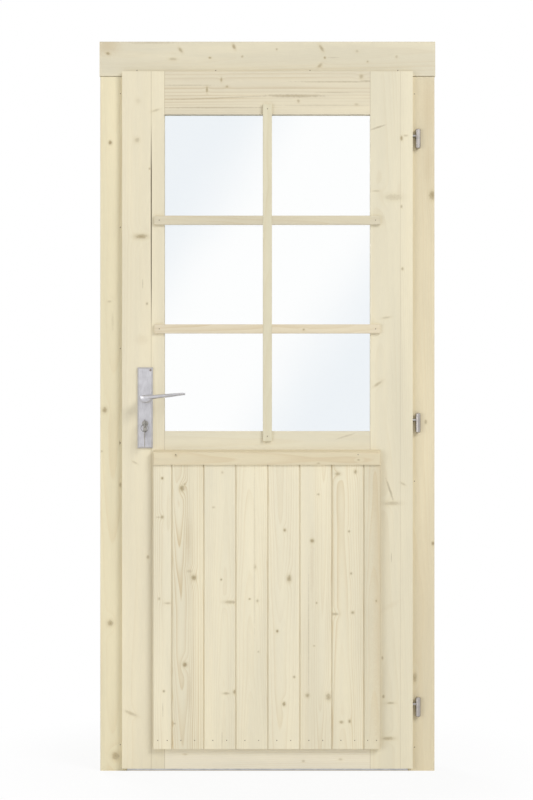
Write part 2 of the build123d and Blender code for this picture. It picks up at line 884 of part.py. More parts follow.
with BuildPart() as leaf_nails:
    rods(bar_nails_sides + bar_nails_rails, nail_radius, bar_nail_y)
    rods(weather_nails, nail_radius, weather_nail_y)
    rods(panel_nails, nail_radius, panel_nail_y)


# The mortise lock: case, forend, follower, latch bolt and deadbolt

half_square = spindle_size / 2 + spindle_play
cavity_half = case_thickness / 2 - case_wall

with BuildPart() as lock_case:
    lock_block((forend_inside, case_back), case_thickness / 2, (case_foot, case_top))
    cavity_z = (case_foot + case_wall, case_top - case_wall)
    lock_block((forend_inside, case_back - case_wall), cavity_half, cavity_z, mode=Mode.SUBTRACT)
    case_y = (lock_y - case_thickness / 2, lock_y + case_thickness / 2)
    collar = follower_collar_radius + plug_play
    rods([(spindle_x, spindle_height)], collar, case_y, mode=Mode.SUBTRACT)
    through_profile(fit_play, case_y, mode=Mode.SUBTRACT)
    rods(plate_bolts[:1], plate_bolt_radius + fit_play, case_y, mode=Mode.SUBTRACT)

with BuildPart() as lock_forend:
    lock_block((-body_half, forend_inside), forend_width / 2, (forend_foot, forend_top))
    for z, height, thickness in (
        (latch_z, latch_height, latch_thickness),
        (bolt_z, bolt_height, bolt_thickness),
    ):
        window = (z - height / 2 - fit_play, z + height / 2 + fit_play)
        window_x = (-body_half, forend_inside)
        lock_block(window_x, thickness / 2 + fit_play, window, mode=Mode.SUBTRACT)
    for solid in forend_screw_solids(play=nail_play):
        add(solid, mode=Mode.SUBTRACT)

with BuildPart() as forend_screws:
    for solid in forend_screw_solids():
        add(solid)

with BuildPart() as lock_follower:
    follower_y = (lock_y - cavity_half + fit_play, lock_y + cavity_half - fit_play)
    rods([(spindle_x, spindle_height)], follower_radius, follower_y)
    rods([(spindle_x, spindle_height)], follower_collar_radius, case_y)
    arm_x = (spindle_x - follower_arm_width / 2, spindle_x + follower_arm_width / 2)
    arm_y = (lock_y - cavity_half + latch_tail_thickness + 2 * fit_play, lock_y + cavity_half - fit_play)
    block(arm_x, arm_y, (spindle_height, spindle_height + follower_arm_reach))
    square_x = (spindle_x - half_square, spindle_x + half_square)
    square_z = (spindle_height - half_square, spindle_height + half_square)
    block(square_x, case_y, square_z, mode=Mode.SUBTRACT)

with BuildPart() as latch_bolt:
    tip = -body_half - latch_throw
    head_back = forend_inside + latch_back
    half_latch = latch_thickness / 2
    with BuildSketch(Plane.XY.offset(latch_z - latch_height / 2)):
        with BuildLine():
            Polyline(
                (head_back, lock_y + half_latch),
                (head_back, lock_y - half_latch),
                (tip, lock_y - half_latch),
                (tip, lock_y - half_latch + latch_nose),
            )
            ThreePointArc(
                (tip, lock_y - half_latch + latch_nose),
                (tip + latch_curve_in, lock_y + latch_curve_out),
                (tip + latch_throw, lock_y + half_latch),
            )
            Line((tip + latch_throw, lock_y + half_latch), (head_back, lock_y + half_latch))
        make_face()
    extrude(amount=latch_height)
    # the tail passes over the follower and ends in the lug that its arm pushes
    tail_z = (
        spindle_height + latch_tail_rise - latch_tail_height / 2,
        spindle_height + latch_tail_rise + latch_tail_height / 2,
    )
    lug_x = spindle_x + follower_arm_width / 2 + latch_lug_play
    tail_front = lock_y - cavity_half + fit_play
    tail_y = (tail_front, tail_front + latch_tail_thickness)
    block((head_back, lug_x + latch_lug_width), tail_y, tail_z)
    lug_y = (tail_front, lock_y + cavity_half - fit_play)
    block((lug_x, lug_x + latch_lug_width), lug_y, tail_z)

with BuildPart() as deadbolt:
    bolt_z_span = (bolt_z - bolt_height / 2, bolt_z + bolt_height / 2)
    lock_block((-body_half, -body_half + bolt_back), bolt_thickness / 2, bolt_z_span)
    tail_end = -body_half + bolt_back + bolt_tail_length
    tail_span = (bolt_z - bolt_tail_height / 2, bolt_z + bolt_tail_height / 2)
    lock_block((-body_half + bolt_back, tail_end), bolt_tail_thickness / 2, tail_span)


# The profile cylinder, its plug and the keys

cam_half = cam_width / 2 + cam_play

with BuildPart() as cylinder_body:
    through_profile(0, (cylinder_front, cylinder_end))
    bore = plug_radius + plug_play
    rods([(spindle_x, cylinder_z)], bore, (cylinder_front, cylinder_end), mode=Mode.SUBTRACT)
    slot_half = cylinder_radius + cam_play
    slot_z = (cylinder_z - cam_radius - cam_play, cylinder_z + slot_half)
    lock_block((spindle_x - slot_half, spindle_x + slot_half), cam_half, slot_z, mode=Mode.SUBTRACT)
    add(forend_screw_solids(play=nail_play)[-1], mode=Mode.SUBTRACT)

blade_front = cylinder_front
blade_end = cylinder_front + blade_length
half_keyway = key_thickness / 2 + keyway_play

with BuildPart() as cylinder_plug:
    rods([(spindle_x, cylinder_z)], plug_radius, (cylinder_front, cylinder_end))
    rods([(spindle_x, cylinder_z)], cylinder_radius, (lock_y - cam_width / 2, lock_y + cam_width / 2))
    tab_x = (spindle_x - plug_radius / 2, spindle_x + plug_radius / 2)
    lock_block(tab_x, cam_width / 2, (cylinder_z - cam_radius, cylinder_z))
    slot_x = (spindle_x - half_keyway, spindle_x + half_keyway)
    slot_z = (cylinder_z - blade_height / 2 - keyway_play, cylinder_z + blade_height / 2 + keyway_play)
    block(slot_x, (cylinder_front, blade_end + key_end_play), slot_z, mode=Mode.SUBTRACT)
    block(slot_x, (cylinder_end - blade_length, cylinder_end), slot_z, mode=Mode.SUBTRACT)


def flat_key(tip, hang):
    """A key in the plane x = spindle_x, from the tip of its blade towards its bow."""
    half = blade_height / 2
    bow_start = blade_length + key_neck
    plane = Plane(origin=tip, x_dir=hang, z_dir=(1, 0, 0))
    with BuildPart() as piece:
        with BuildSketch(plane.offset(-key_thickness / 2)):
            with BuildLine():
                Polyline(
                    (0, -key_tip_half),
                    (key_tip_slope, -half),
                    (bow_start + bow_lap, -half),
                    (bow_start + bow_lap, half),
                    (key_tip_slope, half),
                    (0, key_tip_half),
                    close=True,
                )
            make_face()
            with Locations((bow_start + bow_length / 2, 0)):
                RectangleRounded(bow_length, bow_height, bow_corner)
            with Locations((bow_start + bow_length - bow_hole_inset, 0)):
                Circle(bow_hole_radius, mode=Mode.SUBTRACT)
        extrude(amount=key_thickness)
    return piece


hole_reach = blade_length + key_neck + bow_length - bow_hole_inset
hole_y = blade_end - hole_reach
rest_drop = bow_hole_radius - ring_wire_radius - ring_play
ring_top = cylinder_z - rest_drop
ring_foot = ring_top - 2 * ring_radius
spare_hole_z = ring_foot - rest_drop

key = flat_key((spindle_x, blade_end, cylinder_z), (0, -1, 0))
spare_key = flat_key((spindle_x, hole_y, spare_hole_z - hole_reach), (0, 0, 1))

with BuildPart() as key_ring:
    with BuildSketch(Plane.XY.offset(ring_top - ring_radius)) as wire:
        with Locations((spindle_x + ring_radius, hole_y)):
            Circle(ring_wire_radius)
    revolve(wire.sketch, axis=Axis((spindle_x, hole_y, ring_top - ring_radius), (0, 1, 0)))


# Handle plates, square spindle and levers


def mirrored_indoors(piece):
    """The same piece for the indoor face, mirrored about the middle of the leaf."""
    with BuildPart() as twin:
        add(mirror(piece.part, about=across(leaf_middle), mode=Mode.PRIVATE))
    return twin


hub = [(spindle_x, spindle_height)]
blind_end = plate_face + plate_wall

with BuildPart() as plate_outer:
    with BuildSketch(across(leaf_face)) as outline:
        with Locations((spindle_x, (plate_top + plate_foot) / 2)):
            Rectangle(plate_width, plate_height)
    extrude(outline.sketch, amount=plate_depth)
    chamfer(plate_outer.edges().group_by(Axis.Y)[0], plate_bevel)
    offset(amount=-plate_wall, openings=plate_outer.faces().sort_by(Axis.Y)[-1])
    rods(plate_bolts, plate_boss_radius, (blind_end - boss_lap, leaf_face))
    rods([corner_screw], corner_boss_radius, (blind_end - boss_lap, leaf_face))
    rods(hub, collar_radius + plate_wall, (blind_end - boss_lap, leaf_face))
    rods(hub, collar_radius + lever_play, (plate_face, leaf_face), mode=Mode.SUBTRACT)
    rods(plate_bolts, plate_bolt_radius + nail_play, (blind_end, leaf_face), mode=Mode.SUBTRACT)
    rods([corner_screw], screw_radius + nail_play, (plate_face, leaf_face), mode=Mode.SUBTRACT)
    through_profile(fit_play, (plate_face, leaf_face), mode=Mode.SUBTRACT)

plate_back_face = 2 * leaf_middle - plate_face

with BuildPart() as plate_inner:
    with BuildSketch(across(leaf_back)) as outline:
        with Locations((spindle_x, (plate_top + plate_foot) / 2)):
            Rectangle(plate_width, plate_height)
    extrude(outline.sketch, amount=-plate_depth)
    chamfer(plate_inner.edges().group_by(Axis.Y)[-1], plate_bevel)
    offset(amount=-plate_wall, openings=plate_inner.faces().sort_by(Axis.Y)[0])
    rods(plate_bolts, plate_boss_radius, (leaf_back, plate_back_face - plate_wall + boss_lap))
    rods(hub, collar_radius + plate_wall, (leaf_back, plate_back_face - plate_wall + boss_lap))
    rods(hub, collar_radius + lever_play, (leaf_back, plate_back_face), mode=Mode.SUBTRACT)
    rods(plate_bolts, plate_bolt_radius + nail_play, (leaf_back, plate_back_face), mode=Mode.SUBTRACT)
    through_profile(fit_play, (leaf_back, plate_back_face), mode=Mode.SUBTRACT)

with BuildPart() as plate_screws:
    rods(plate_bolts, plate_bolt_radius, (blind_end, plate_back_face))
    rods(plate_bolts, plate_bolt_head, (plate_back_face, plate_back_face + screw_head_depth))
    rods([corner_screw], screw_radius, (plate_face, leaf_face + corner_screw_depth))
    rods([corner_screw], corner_screw_head, (plate_face - screw_head_depth, plate_face))

with BuildPart() as spindle:
    half = spindle_size / 2
    spindle_y = (plate_face - spindle_grip, plate_back_face + spindle_grip)
    block((spindle_x - half, spindle_x + half), spindle_y, (spindle_height - half, spindle_height + half))

grip_y = plate_face - neck_length - elbow_radius



def heel_bowl():
    """The lower part of a flattened ball, cut level a little over the spindle's axis."""
    radii = (heel_half_length, heel_half_depth, heel_drop)
    ball = scale(Sphere(1, mode=Mode.PRIVATE), by=radii, mode=Mode.PRIVATE)
    over = Box(2 * heel_half_length, 2 * heel_drop, 2 * heel_drop, mode=Mode.PRIVATE)
    middle = Pos(spindle_x + heel_ahead, grip_y, spindle_height)
    return middle * (ball - Pos(0, 0, heel_top + heel_drop) * over)


with BuildPart() as lever_outer:
    rods(hub, collar_radius, (plate_face - collar_length, leaf_face))
    # neck and elbow
    with BuildLine(Plane.XY.offset(spindle_height)) as neck_line:
        Line((spindle_x, plate_face), (spindle_x, plate_face - neck_length))
        JernArc((spindle_x, plate_face - neck_length), (0, -1), elbow_radius, 90)
    with BuildSketch(across(plate_face)) as neck:
        with Locations((spindle_x, spindle_height)):
            Ellipse(neck_half_width, neck_half_height)
    sweep(neck.sketch, path=neck_line.line)
    # grip, thinner and rising towards its tip
    root = Plane((spindle_x + elbow_radius, grip_y, spindle_height), x_dir=(0, 1, 0), z_dir=(1, 0, 0))
    tip = Plane((spindle_x + grip_end, grip_y, spindle_height + grip_rise), x_dir=(0, 1, 0), z_dir=(1, 0, 0))
    with BuildSketch(root) as grip_root:
        Ellipse(neck_half_width, neck_half_height)
    with BuildSketch(tip) as grip_tip:
        Ellipse(grip_tip_half_depth, grip_tip_half_height)
    loft([grip_root.sketch, grip_tip.sketch])
    # the rounded heel under the root of the grip, flat on top
    add(heel_bowl())
    square_x = (spindle_x - half_square, spindle_x + half_square)
    grip_hole = (plate_face - spindle_grip, leaf_face)
    block(square_x, grip_hole, square_z, mode=Mode.SUBTRACT)

lever_inner = mirrored_indoors(lever_outer)


# Every piece is written under its own name

pieces = {
    "post_lock_side": post_lock_side,
    "post_hinge_side": post_hinge_side,
    "head_beam": head_beam,
    "sill": sill,
    "sill_strip": sill_strip,
    "outer_casing_lock_side": outer_casing_lock_side,
    "outer_casing_hinge_side": outer_casing_hinge_side,
    "outer_casing_head": outer_casing_head,
    "inner_casing_lock_side": inner_casing_lock_side,
    "inner_casing_hinge_side": inner_casing_hinge_side,
    "inner_casing_head": inner_casing_head,
    "casing_nails": casing_nails,
    "strike_plate": strike_plate,
    "strike_screws": strike_screws,
    "stile_lock_side": stile_lock_side,
    "stile_hinge_side": stile_hinge_side,
    "rail_top": rail_top,
    "rail_middle": rail_middle,
    "rail_bottom": rail_bottom,
    "glass_pane": glass_pane,
    "bead_bottom": bead_bottom,
    "bead_top": bead_top,
    "bead_lock_side": bead_lock_side,
    "bead_hinge_side": bead_hinge_side,
    "bar_vertical": bar_vertical,
    "bar_lower": bar_lower,
    "bar_upper": bar_upper,
    "weather_bar": weather_bar,
    "leaf_nails": leaf_nails,
    "lock_case": lock_case,
    "lock_forend": lock_forend,
    "forend_screws": forend_screws,
    "lock_follower": lock_follower,
    "latch_bolt": latch_bolt,
    "deadbolt": deadbolt,
    "cylinder_body": cylinder_body,
    "cylinder_plug": cylinder_plug,
    "key": key,
    "key_ring": key_ring,
    "spare_key": spare_key,
    "plate_outer": plate_outer,
    "plate_inner": plate_inner,
    "plate_screws": plate_screws,
    "spindle": spindle,
    "lever_outer": lever_outer,
    "lever_inner": lever_inner,
}
for place, lower, upper in zip(("bottom", "middle", "top"), lower_halves, upper_halves):
    pieces[f"hinge_{place}_lower"] = lower
    pieces[f"hinge_{place}_upper"] = upper
for number, piece in enumerate(boards, start=1):
    pieces[f"board_{number}"] = piece

os.makedirs("parts", exist_ok=True)
for name, piece in pieces.items():
    save(name, piece.part)
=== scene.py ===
"""The looks of a glazed garden-house door, with its frame and ironmongery.

Metres. X runs along the doorway towards the hinges, Y from outdoors to indoors and Z up. The solids come packed;
this file dresses each of them as the maker would see it: planed spruce with its rings, knot marks, stains and glue
lines, satin aluminium, galvanised and nickelled steel, and clear glass. Some colour is painted light: painted shade
at the board joints and on the last board's right side, and a painted reflection banding the glass.
"""

import logging
import math
from dataclasses import dataclass, field
from enum import Enum

import bpy
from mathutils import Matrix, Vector

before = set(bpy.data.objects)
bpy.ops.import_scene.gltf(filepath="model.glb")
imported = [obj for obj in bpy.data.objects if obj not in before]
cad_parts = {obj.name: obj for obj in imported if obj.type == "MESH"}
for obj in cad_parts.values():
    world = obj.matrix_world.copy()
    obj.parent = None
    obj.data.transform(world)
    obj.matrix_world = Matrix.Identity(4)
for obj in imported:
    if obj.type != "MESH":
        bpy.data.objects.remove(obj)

Socket = bpy.types.NodeSocket
log = logging.getLogger("door")


def paint(red: float, green: float, blue: float) -> tuple[float, float, float, float]:
    """The linear colour of a written display colour.

    Args:
        red: Red, 0 to 255.
        green: Green, 0 to 255.
        blue: Blue, 0 to 255.

    Returns:
        The same colour as linear red, green, blue and alpha.
    """
    def linear(value: float) -> float:
        """One channel, made linear by the standard display curve."""
        share = value / 255
        return share / 12.92 if share <= 0.04045 else ((share + 0.055) / 1.055) ** 2.4

    return (linear(red), linear(green), linear(blue), 1.0)


class Way(Enum):
    """Which way a timber's grain runs."""

    UPRIGHT = "upright"
    LEVEL = "level"


class Sort(Enum):
    """What a mark on the wood is."""

    KNOT = "knot"
    STREAK = "streak"
    # a soft dark patch: mostly the wood's own stains, and on the last board painted shade
    STAIN_AND_SHADE = "stain_and_shade"


class Sheet:
    """A node tree that is written down step by step."""

    def __init__(self, tree: bpy.types.NodeTree) -> None:
        """Keep the tree.

        Args:
            tree: Where the nodes go.
        """
        self.tree = tree

    def node(self, kind: str, **values: object) -> bpy.types.Node:
        """Add a node and set its properties.

        Args:
            kind: The node's Blender type.
            values: Properties of the node by name.

        Returns:
            The new node.
        """
        made = self.tree.nodes.new(kind)
        for name, value in values.items():
            setattr(made, name, value)
        return made

    def feed(self, target: Socket, value: object) -> None:
        """Link a socket to a target, or set the target's own value.

        Args:
            target: The input that is fed.
            value: A socket, a value, or None to leave the input as it is.
        """
        if isinstance(value, bpy.types.NodeSocket):
            self.tree.links.new(value, target)
        elif value is not None:
            target.default_value = value

    def fed(self, kind: str, properties: dict[str, object], **values: object) -> bpy.types.Node:
        """Add a node and feed its named inputs.

        Args:
            kind: The node's Blender type.
            properties: Properties of the node by name.
            values: What each input is fed, with _ for a space in its name.

        Returns:
            The new node.
        """
        made = self.node(kind, **properties)
        for name, value in values.items():
            self.feed(made.inputs[name.replace("_", " ")], value)
        return made

    def group(self, tree: bpy.types.NodeTree, **values: object) -> bpy.types.Node:
        """Place a node group and feed its named inputs.

        Args:
            tree: The group.
            values: What each input is fed, with _ for a space in its name.

        Returns:
            The new node.
        """
        return self.fed("ShaderNodeGroup", {"node_tree": tree}, **values)

    def sum(self, operation: str, first: object, second: object = None, third: object = None,
            clamp: bool = False) -> Socket:
        """A step of arithmetic.

        Args:
            operation: The Math node's operation.
            first: First value or socket.
            second: Second value or socket.
            third: Third value or socket.
            clamp: Whether the result is kept within 0 and 1.

        Returns:
            The result's socket.
        """
        made = self.node("ShaderNodeMath", operation=operation, use_clamp=clamp)
        for target, value in zip(made.inputs, (first, second, third)):
            self.feed(target, value)
        return made.outputs[0]

    def distance(self, across: Socket, along: Socket) -> Socket:
        """How far two offsets at right angles reach together.

        Args:
            across: One offset.
            along: The other.

        Returns:
            The length of both together.
        """
        squares = [self.sum("MULTIPLY", part, part) for part in (across, along)]
        return self.sum("SQRT", self.sum("ADD", *squares))

    def vector(self, operation: str, first: object, second: object = None, result: int = 0) -> Socket:
        """A step of vector arithmetic.

        Args:
            operation: The Vector Math node's operation.
            first: First vector or socket.
            second: Second vector or socket.
            result: 0 for the vector and 1 for the value.

        Returns:
            The result's socket.
        """
        made = self.node("ShaderNodeVectorMath", operation=operation)
        self.feed(made.inputs[0], first)
        self.feed(made.inputs[1], second)
        return made.outputs[result]

    def split(self, value: Socket) -> tuple[Socket, Socket, Socket]:
        """A vector's three parts.

        Args:
            value: The vector.

        Returns:
            Its X, Y and Z.
        """
        made = self.node("ShaderNodeSeparateXYZ")
        self.feed(made.inputs[0], value)
        return made.outputs[0], made.outputs[1], made.outputs[2]

    def join(self, x: object, y: object, z: object) -> Socket:
        """A vector made of three parts.

        Args:
            x: Its X.
            y: Its Y.
            z: Its Z.

        Returns:
            The vector.
        """
        made = self.node("ShaderNodeCombineXYZ")
        for target, value in zip(made.inputs, (x, y, z)):
            self.feed(target, value)
        return made.outputs[0]

    def stretch(self, place: Socket, across: float, along: float) -> Socket:
        """A place scaled apart across and along the grain, for noise that is drawn out with it.

        Args:
            place: The place as the grain sees it.
            across: Scale of X and Y.
            along: Scale of Z.

        Returns:
            The scaled place.
        """
        return self.vector("MULTIPLY", place, (across, across, along))

    def noise(self, place: object, scale: float, detail: float = 2.0, rough: float = 0.5) -> Socket:
        """Smooth noise from 0 to 1.

        Args:
            place: The vector it is read at.
            scale: Its scale.
            detail: Its octaves.
            rough: How much the finer octaves count.

        Returns:
            The noise's value.
        """
        return self.fed(
            "ShaderNodeTexNoise", {}, Vector=place, Scale=scale, Detail=detail, Roughness=rough).outputs["Fac"]

    def sway(self, place: object, scale: float, detail: float = 2.0, rough: float = 0.5) -> Socket:
        """Smooth noise around nought, from -0.5 to 0.5.

        Args:
            place: The vector it is read at.
            scale: Its scale.
            detail: Its octaves.
            rough: How much the finer octaves count.

        Returns:
            The noise's value.
        """
        return self.sum("SUBTRACT", self.noise(place, scale, detail, rough), 0.5)

    def span(self, value: object, low: float, high: float, to_low: float = 0.0, to_high: float = 1.0) -> Socket:
        """A value carried smoothly from one range to another, and kept inside it.

        Args:
            value: The value.
            low: Where the first range starts.
            high: Where it ends.
            to_low: Where the second range starts.
            to_high: Where it ends.

        Returns:
            The carried value.
        """
        made = self.node("ShaderNodeMapRange", interpolation_type="SMOOTHSTEP")
        for target, part in zip(made.inputs, (value, low, high, to_low, to_high)):
            self.feed(target, part)
        return made.outputs[0]

    def blend(self, share: object, first: object, second: object, way: str = "MIX") -> Socket:
        """Two colours mixed.

        Args:
            share: How much of the second.
            first: The colour underneath.
            second: The colour on top.
            way: How they are mixed.

        Returns:
            The mixed colour.
        """
        made = self.node("ShaderNodeMix", data_type="RGBA", blend_type=way)
        for number, value in ((0, share), (6, first), (7, second)):
            self.feed(made.inputs[number], value)
        return made.outputs[2]

    def spot(self) -> Socket:
        """The shaded point.

        Returns:
            Its place in the object's own metres.
        """
        return self.node("ShaderNodeTexCoord").outputs["Object"]

    def bump(self, height: Socket, strength: float, distance: float) -> Socket:
        """The normal, tipped by a height.

        Args:
            height: The height, 0 to 1.
            strength: How much it counts.
            distance: How high 1 is, in metres.

        Returns:
            The tipped normal.
        """
        return self.fed(
            "ShaderNodeBump", {}, Height=height, Strength=strength, Distance=distance).outputs["Normal"]

    def surface(self, shader: bpy.types.Node) -> None:
        """Make a shader the material's surface.

        Args:
            shader: The shader's node.
        """
        self.fed("ShaderNodeOutputMaterial", {}, Surface=shader.outputs[0])


def blank(name: str) -> tuple[bpy.types.Material, Sheet]:
    """Start a material without nodes.

    Args:
        name: The material's name.

    Returns:
        The material, and the sheet for its nodes.
    """
    made = bpy.data.materials.new(name)
    made.use_nodes = True
    made.node_tree.nodes.clear()
    return made, Sheet(made.node_tree)


def new_group(name: str, inputs: dict[str, tuple[str, object]], outputs: dict[str, str]) -> tuple[
        bpy.types.NodeTree, Sheet, bpy.types.Node, bpy.types.Node]:
    """Start a shader node group with named sockets.

    Args:
        name: The group's name.
        inputs: Socket type and default value by name.
        outputs: Socket type by name.

    Returns:
        The tree, its sheet, and its input and output nodes.
    """
    tree = bpy.data.node_groups.new(name, "ShaderNodeTree")
    for title, (kind, value) in inputs.items():
        tree.interface.new_socket(title, in_out="INPUT", socket_type=kind).default_value = value
    for title, kind in outputs.items():
        tree.interface.new_socket(title, in_out="OUTPUT", socket_type=kind)
    sheet = Sheet(tree)
    return tree, sheet, sheet.node("NodeGroupInput"), sheet.node("NodeGroupOutput")


FLOAT, VECTOR = "NodeSocketFloat", "NodeSocketVector"


def ring_group() -> bpy.types.NodeTree:
    """The growth rings of a trunk, cut by a timber's faces.

    Returns:
        A group that gives the latewood, the slow drift of tone and the fibre.
    """
    tree, s, source, out = new_group(
        "growth rings",
        {
            "Place": (VECTOR, (0, 0, 0)), "Pith": (VECTOR, (0, 0.06, 0)), "Lean": (VECTOR, (0, 0, 0)),
            "Push": (FLOAT, 0.0), "Ring": (FLOAT, 0.003), "Waver": (FLOAT, 0.004), "Seed": (FLOAT, 0.0),
        },
        {"Late": FLOAT, "Drift": FLOAT, "Fibre": FLOAT},
    )
    # how finely each pattern is drawn, across and along the grain
    wander, ripples, patches, tones, threads = (2.0, 1.0), (22.0, 2.2), (19.0, 1.6), (14.0, 1.3), (900.0, 34.0)
    ripple_height, uneven_years, year_curve = 0.0016, 3.0, 2.6
    given = source.outputs
    place, seed = given["Place"], given["Seed"]
    x, y, z = s.split(place)
    shifted = s.vector("ADD", place, s.join(seed, s.sum("MULTIPLY", seed, 0.37), s.sum("MULTIPLY", seed, 1.7)))
    sx, sy, sz = s.split(shifted)
    pith_x, pith_y, _ = s.split(given["Pith"])
    lean_x, lean_y, _ = s.split(given["Lean"])
    # the pith wanders slowly along the trunk
    side = s.sway(s.stretch(shifted, *wander), 1.6, 2.0, 0.55)
    other = s.join(s.sum("MULTIPLY", sy, 2.0), s.sum("ADD", sz, 7.3), s.sum("MULTIPLY", sx, 2.0))
    depth = s.sway(other, 2.1, 2.0, 0.55)
    swing = s.sum("MULTIPLY", given["Waver"], 2.0)
    offsets = []
    for part, pith, lean, sway in ((x, pith_x, lean_x, side), (y, pith_y, lean_y, depth)):
        straight = s.sum("SUBTRACT", part, s.sum("ADD", pith, s.sum("MULTIPLY", lean, z)))
        offsets.append(s.sum("ADD", straight, s.sum("MULTIPLY", sway, swing)))
    reach = s.sum("ADD", s.distance(*offsets), given["Push"])
    # small ripples, and years of strong and weak growth
    ripple = s.sway(s.stretch(shifted, *ripples), 1.0, 3.0)
    reach = s.sum("ADD", reach, s.sum("MULTIPLY", ripple, ripple_height))
    years = s.sum("DIVIDE", reach, given["Ring"])
    growth = s.noise(s.join(s.sum("MULTIPLY", years, 0.21), seed, 0.0), 1.0, 2.0, 0.6)
    years = s.sum("ADD", years, s.sum("MULTIPLY", growth, uneven_years))
    # each year darkens slowly and ends at once
    share = s.sum("FRACT", years)
    late = s.sum("MULTIPLY", s.sum("POWER", share, year_curve), s.span(share, 0.9, 1.0, 1.0, 0.0))
    strength = s.noise(s.join(s.sum("MULTIPLY", years, 0.45), 3.1, seed), 1.0, 1.0)
    late = s.sum("MULTIPLY", late, s.span(strength, 0.3, 0.7, 0.45, 1.25))
    patch = s.noise(s.stretch(shifted, *patches), 1.0, 1.0)
    late = s.sum("MULTIPLY", late, s.span(patch, 0.36, 0.64, 0.3, 1.2))
    s.feed(out.inputs["Late"], late)
    s.feed(out.inputs["Drift"], s.noise(s.stretch(shifted, *tones), 1.0, 3.0, 0.55))
    s.feed(out.inputs["Fibre"], s.noise(s.stretch(shifted, *threads), 1.0, 2.0, 0.6))
    return tree


def mark_group() -> bpy.types.NodeTree:
    """One knot, streak or soft dark patch on a timber's face, and how the rings part around it; patches are the
    wood's stains, and once painted shade.

    Returns:
        A group that adds the mark to those placed before it.
    """
    tree, s, source, out = new_group(
        "mark",
        {
            "Place": (VECTOR, (0, 0, 0)), "Centre": (VECTOR, (0, 0, 0)), "Size": (VECTOR, (0.01, 1, 0.01)),
            "Tilt": (FLOAT, 0.0), "Wobble": (FLOAT, 0.0), "Dark": (FLOAT, 0.0), "Soft": (FLOAT, 0.0),
            "Tint": (FLOAT, 0.0), "Part": (FLOAT, 0.0), "Push": (FLOAT, 0.0), "Core": (FLOAT, 0.0),
            "Halo": (FLOAT, 0.0), "Stain": (FLOAT, 0.0),
        },
        {"Push": FLOAT, "Core": FLOAT, "Halo": FLOAT, "Stain": FLOAT},
    )
    # a knot's own rings, and how soon the timber's rings close again across and along the grain
    knot_rings, knot_pale, close_across, close_along = 11.0, 0.74, 0.3, 0.09
    given = source.outputs
    x, _, z = s.split(s.vector("SUBTRACT", given["Place"], given["Centre"]))
    cos, sin = s.sum("COSINE", given["Tilt"]), s.sum("SINE", given["Tilt"])
    across = s.sum("SUBTRACT", s.sum("MULTIPLY", x, cos), s.sum("MULTIPLY", z, sin))
    along = s.sum("ADD", s.sum("MULTIPLY", x, sin), s.sum("MULTIPLY", z, cos))
    wide, _, tall = s.split(given["Size"])
    u, v = s.sum("DIVIDE", across, wide), s.sum("DIVIDE", along, tall)
    distance = s.distance(u, v)
    ragged = s.sum("ADD", distance, given["Wobble"])
    rings = s.span(s.sum("SINE", s.sum("MULTIPLY", ragged, knot_rings)), -1.0, 1.0, knot_pale, 1.0)
    core = s.sum("MULTIPLY", s.span(ragged, 0.3, 1.25, 1.0, 0.0), rings)
    halo = s.span(distance, 0.5, 2.2, 1.0, 0.0)
    # the soft patch: the wood's stains, and on the last board painted shade
    stain_and_shade = s.span(ragged, 0.1, 1.5, 1.0, 0.0)
    # the timber's rings bulge away from it, further along the grain than across it
    far = s.sum("ADD", s.sum("MULTIPLY", s.sum("MULTIPLY", u, u), close_across),
                s.sum("MULTIPLY", s.sum("MULTIPLY", v, v), close_along))
    bulge = s.sum("MULTIPLY", s.sum("EXPONENT", s.sum("MULTIPLY", far, -1.0)), given["Part"])
    s.feed(out.inputs["Push"], s.sum("ADD", given["Push"], bulge))
    for name, value, strength in (("Core", core, "Dark"), ("Halo", halo, "Soft"), ("Stain", stain_and_shade, "Tint")):
        s.feed(out.inputs[name], s.sum("MAXIMUM", given[name], s.sum("MULTIPLY", value, given[strength])))
    return tree


def brushed_group() -> bpy.types.NodeTree:
    """Fine scratches and smudges on metal.

    Returns:
        A group that gives a tone, a roughness and a height.
    """
    tree, s, source, out = new_group(
        "brushed metal",
        {
            "Place": (VECTOR, (0, 0, 0)), "Stretch": (VECTOR, (1, 1, 1)), "Rough": (FLOAT, 0.35),
            "Spread": (FLOAT, 0.1),
        },
        {"Tone": FLOAT, "Roughness": FLOAT, "Height": FLOAT},
    )
    scratch_scale, smudge_scale = 900.0, 60.0
    given = source.outputs
    grain = s.noise(s.vector("MULTIPLY", given["Place"], given["Stretch"]), scratch_scale, 2.0, 0.6)
    smudge = s.noise(given["Place"], smudge_scale, 3.0, 0.6)
    both = s.sum("ADD", s.sum("MULTIPLY", grain, 0.5), s.sum("MULTIPLY", smudge, 0.5))
    uneven = s.sum("MULTIPLY", s.sum("SUBTRACT", both, 0.5), given["Spread"])
    s.feed(out.inputs["Tone"], both)
    s.feed(out.inputs["Height"], grain)
    s.feed(out.inputs["Roughness"], s.sum("ADD", given["Rough"], uneven))
    return tree


RINGS, MARK, BRUSHED = ring_group(), mark_group(), brushed_group()

# a mark fades out past its edge, and a knot parts the rings by this much of its smaller half
MARK_SPREAD, KNOT_PART = 1.3, 0.9
# the display colours laid over the rings, and how much of each at full strength
WARM_TONE, WARM_SHARE = (238, 226, 192), 0.35
# the soft patches' colour, for the wood's stains and for painted shade
STAIN_AND_SHADE_TONE, STAIN_AND_SHADE_SHARE = (196, 176, 140), 0.5
HALO_TONE, HALO_SHARE = (202, 188, 152), 0.7
CORE_TONE, CORE_SHARE = (146, 128, 94), 0.9
# the dark colour of the joints: glue and dirt, and at the boards' edges also painted shade
JOINT_TONE, BUTT_DEPTH = (150, 128, 92), 0.6
# a joint's line is full up to the first distance from it and gone at the second
JOINT_LINE = (0.0004, 0.0016)


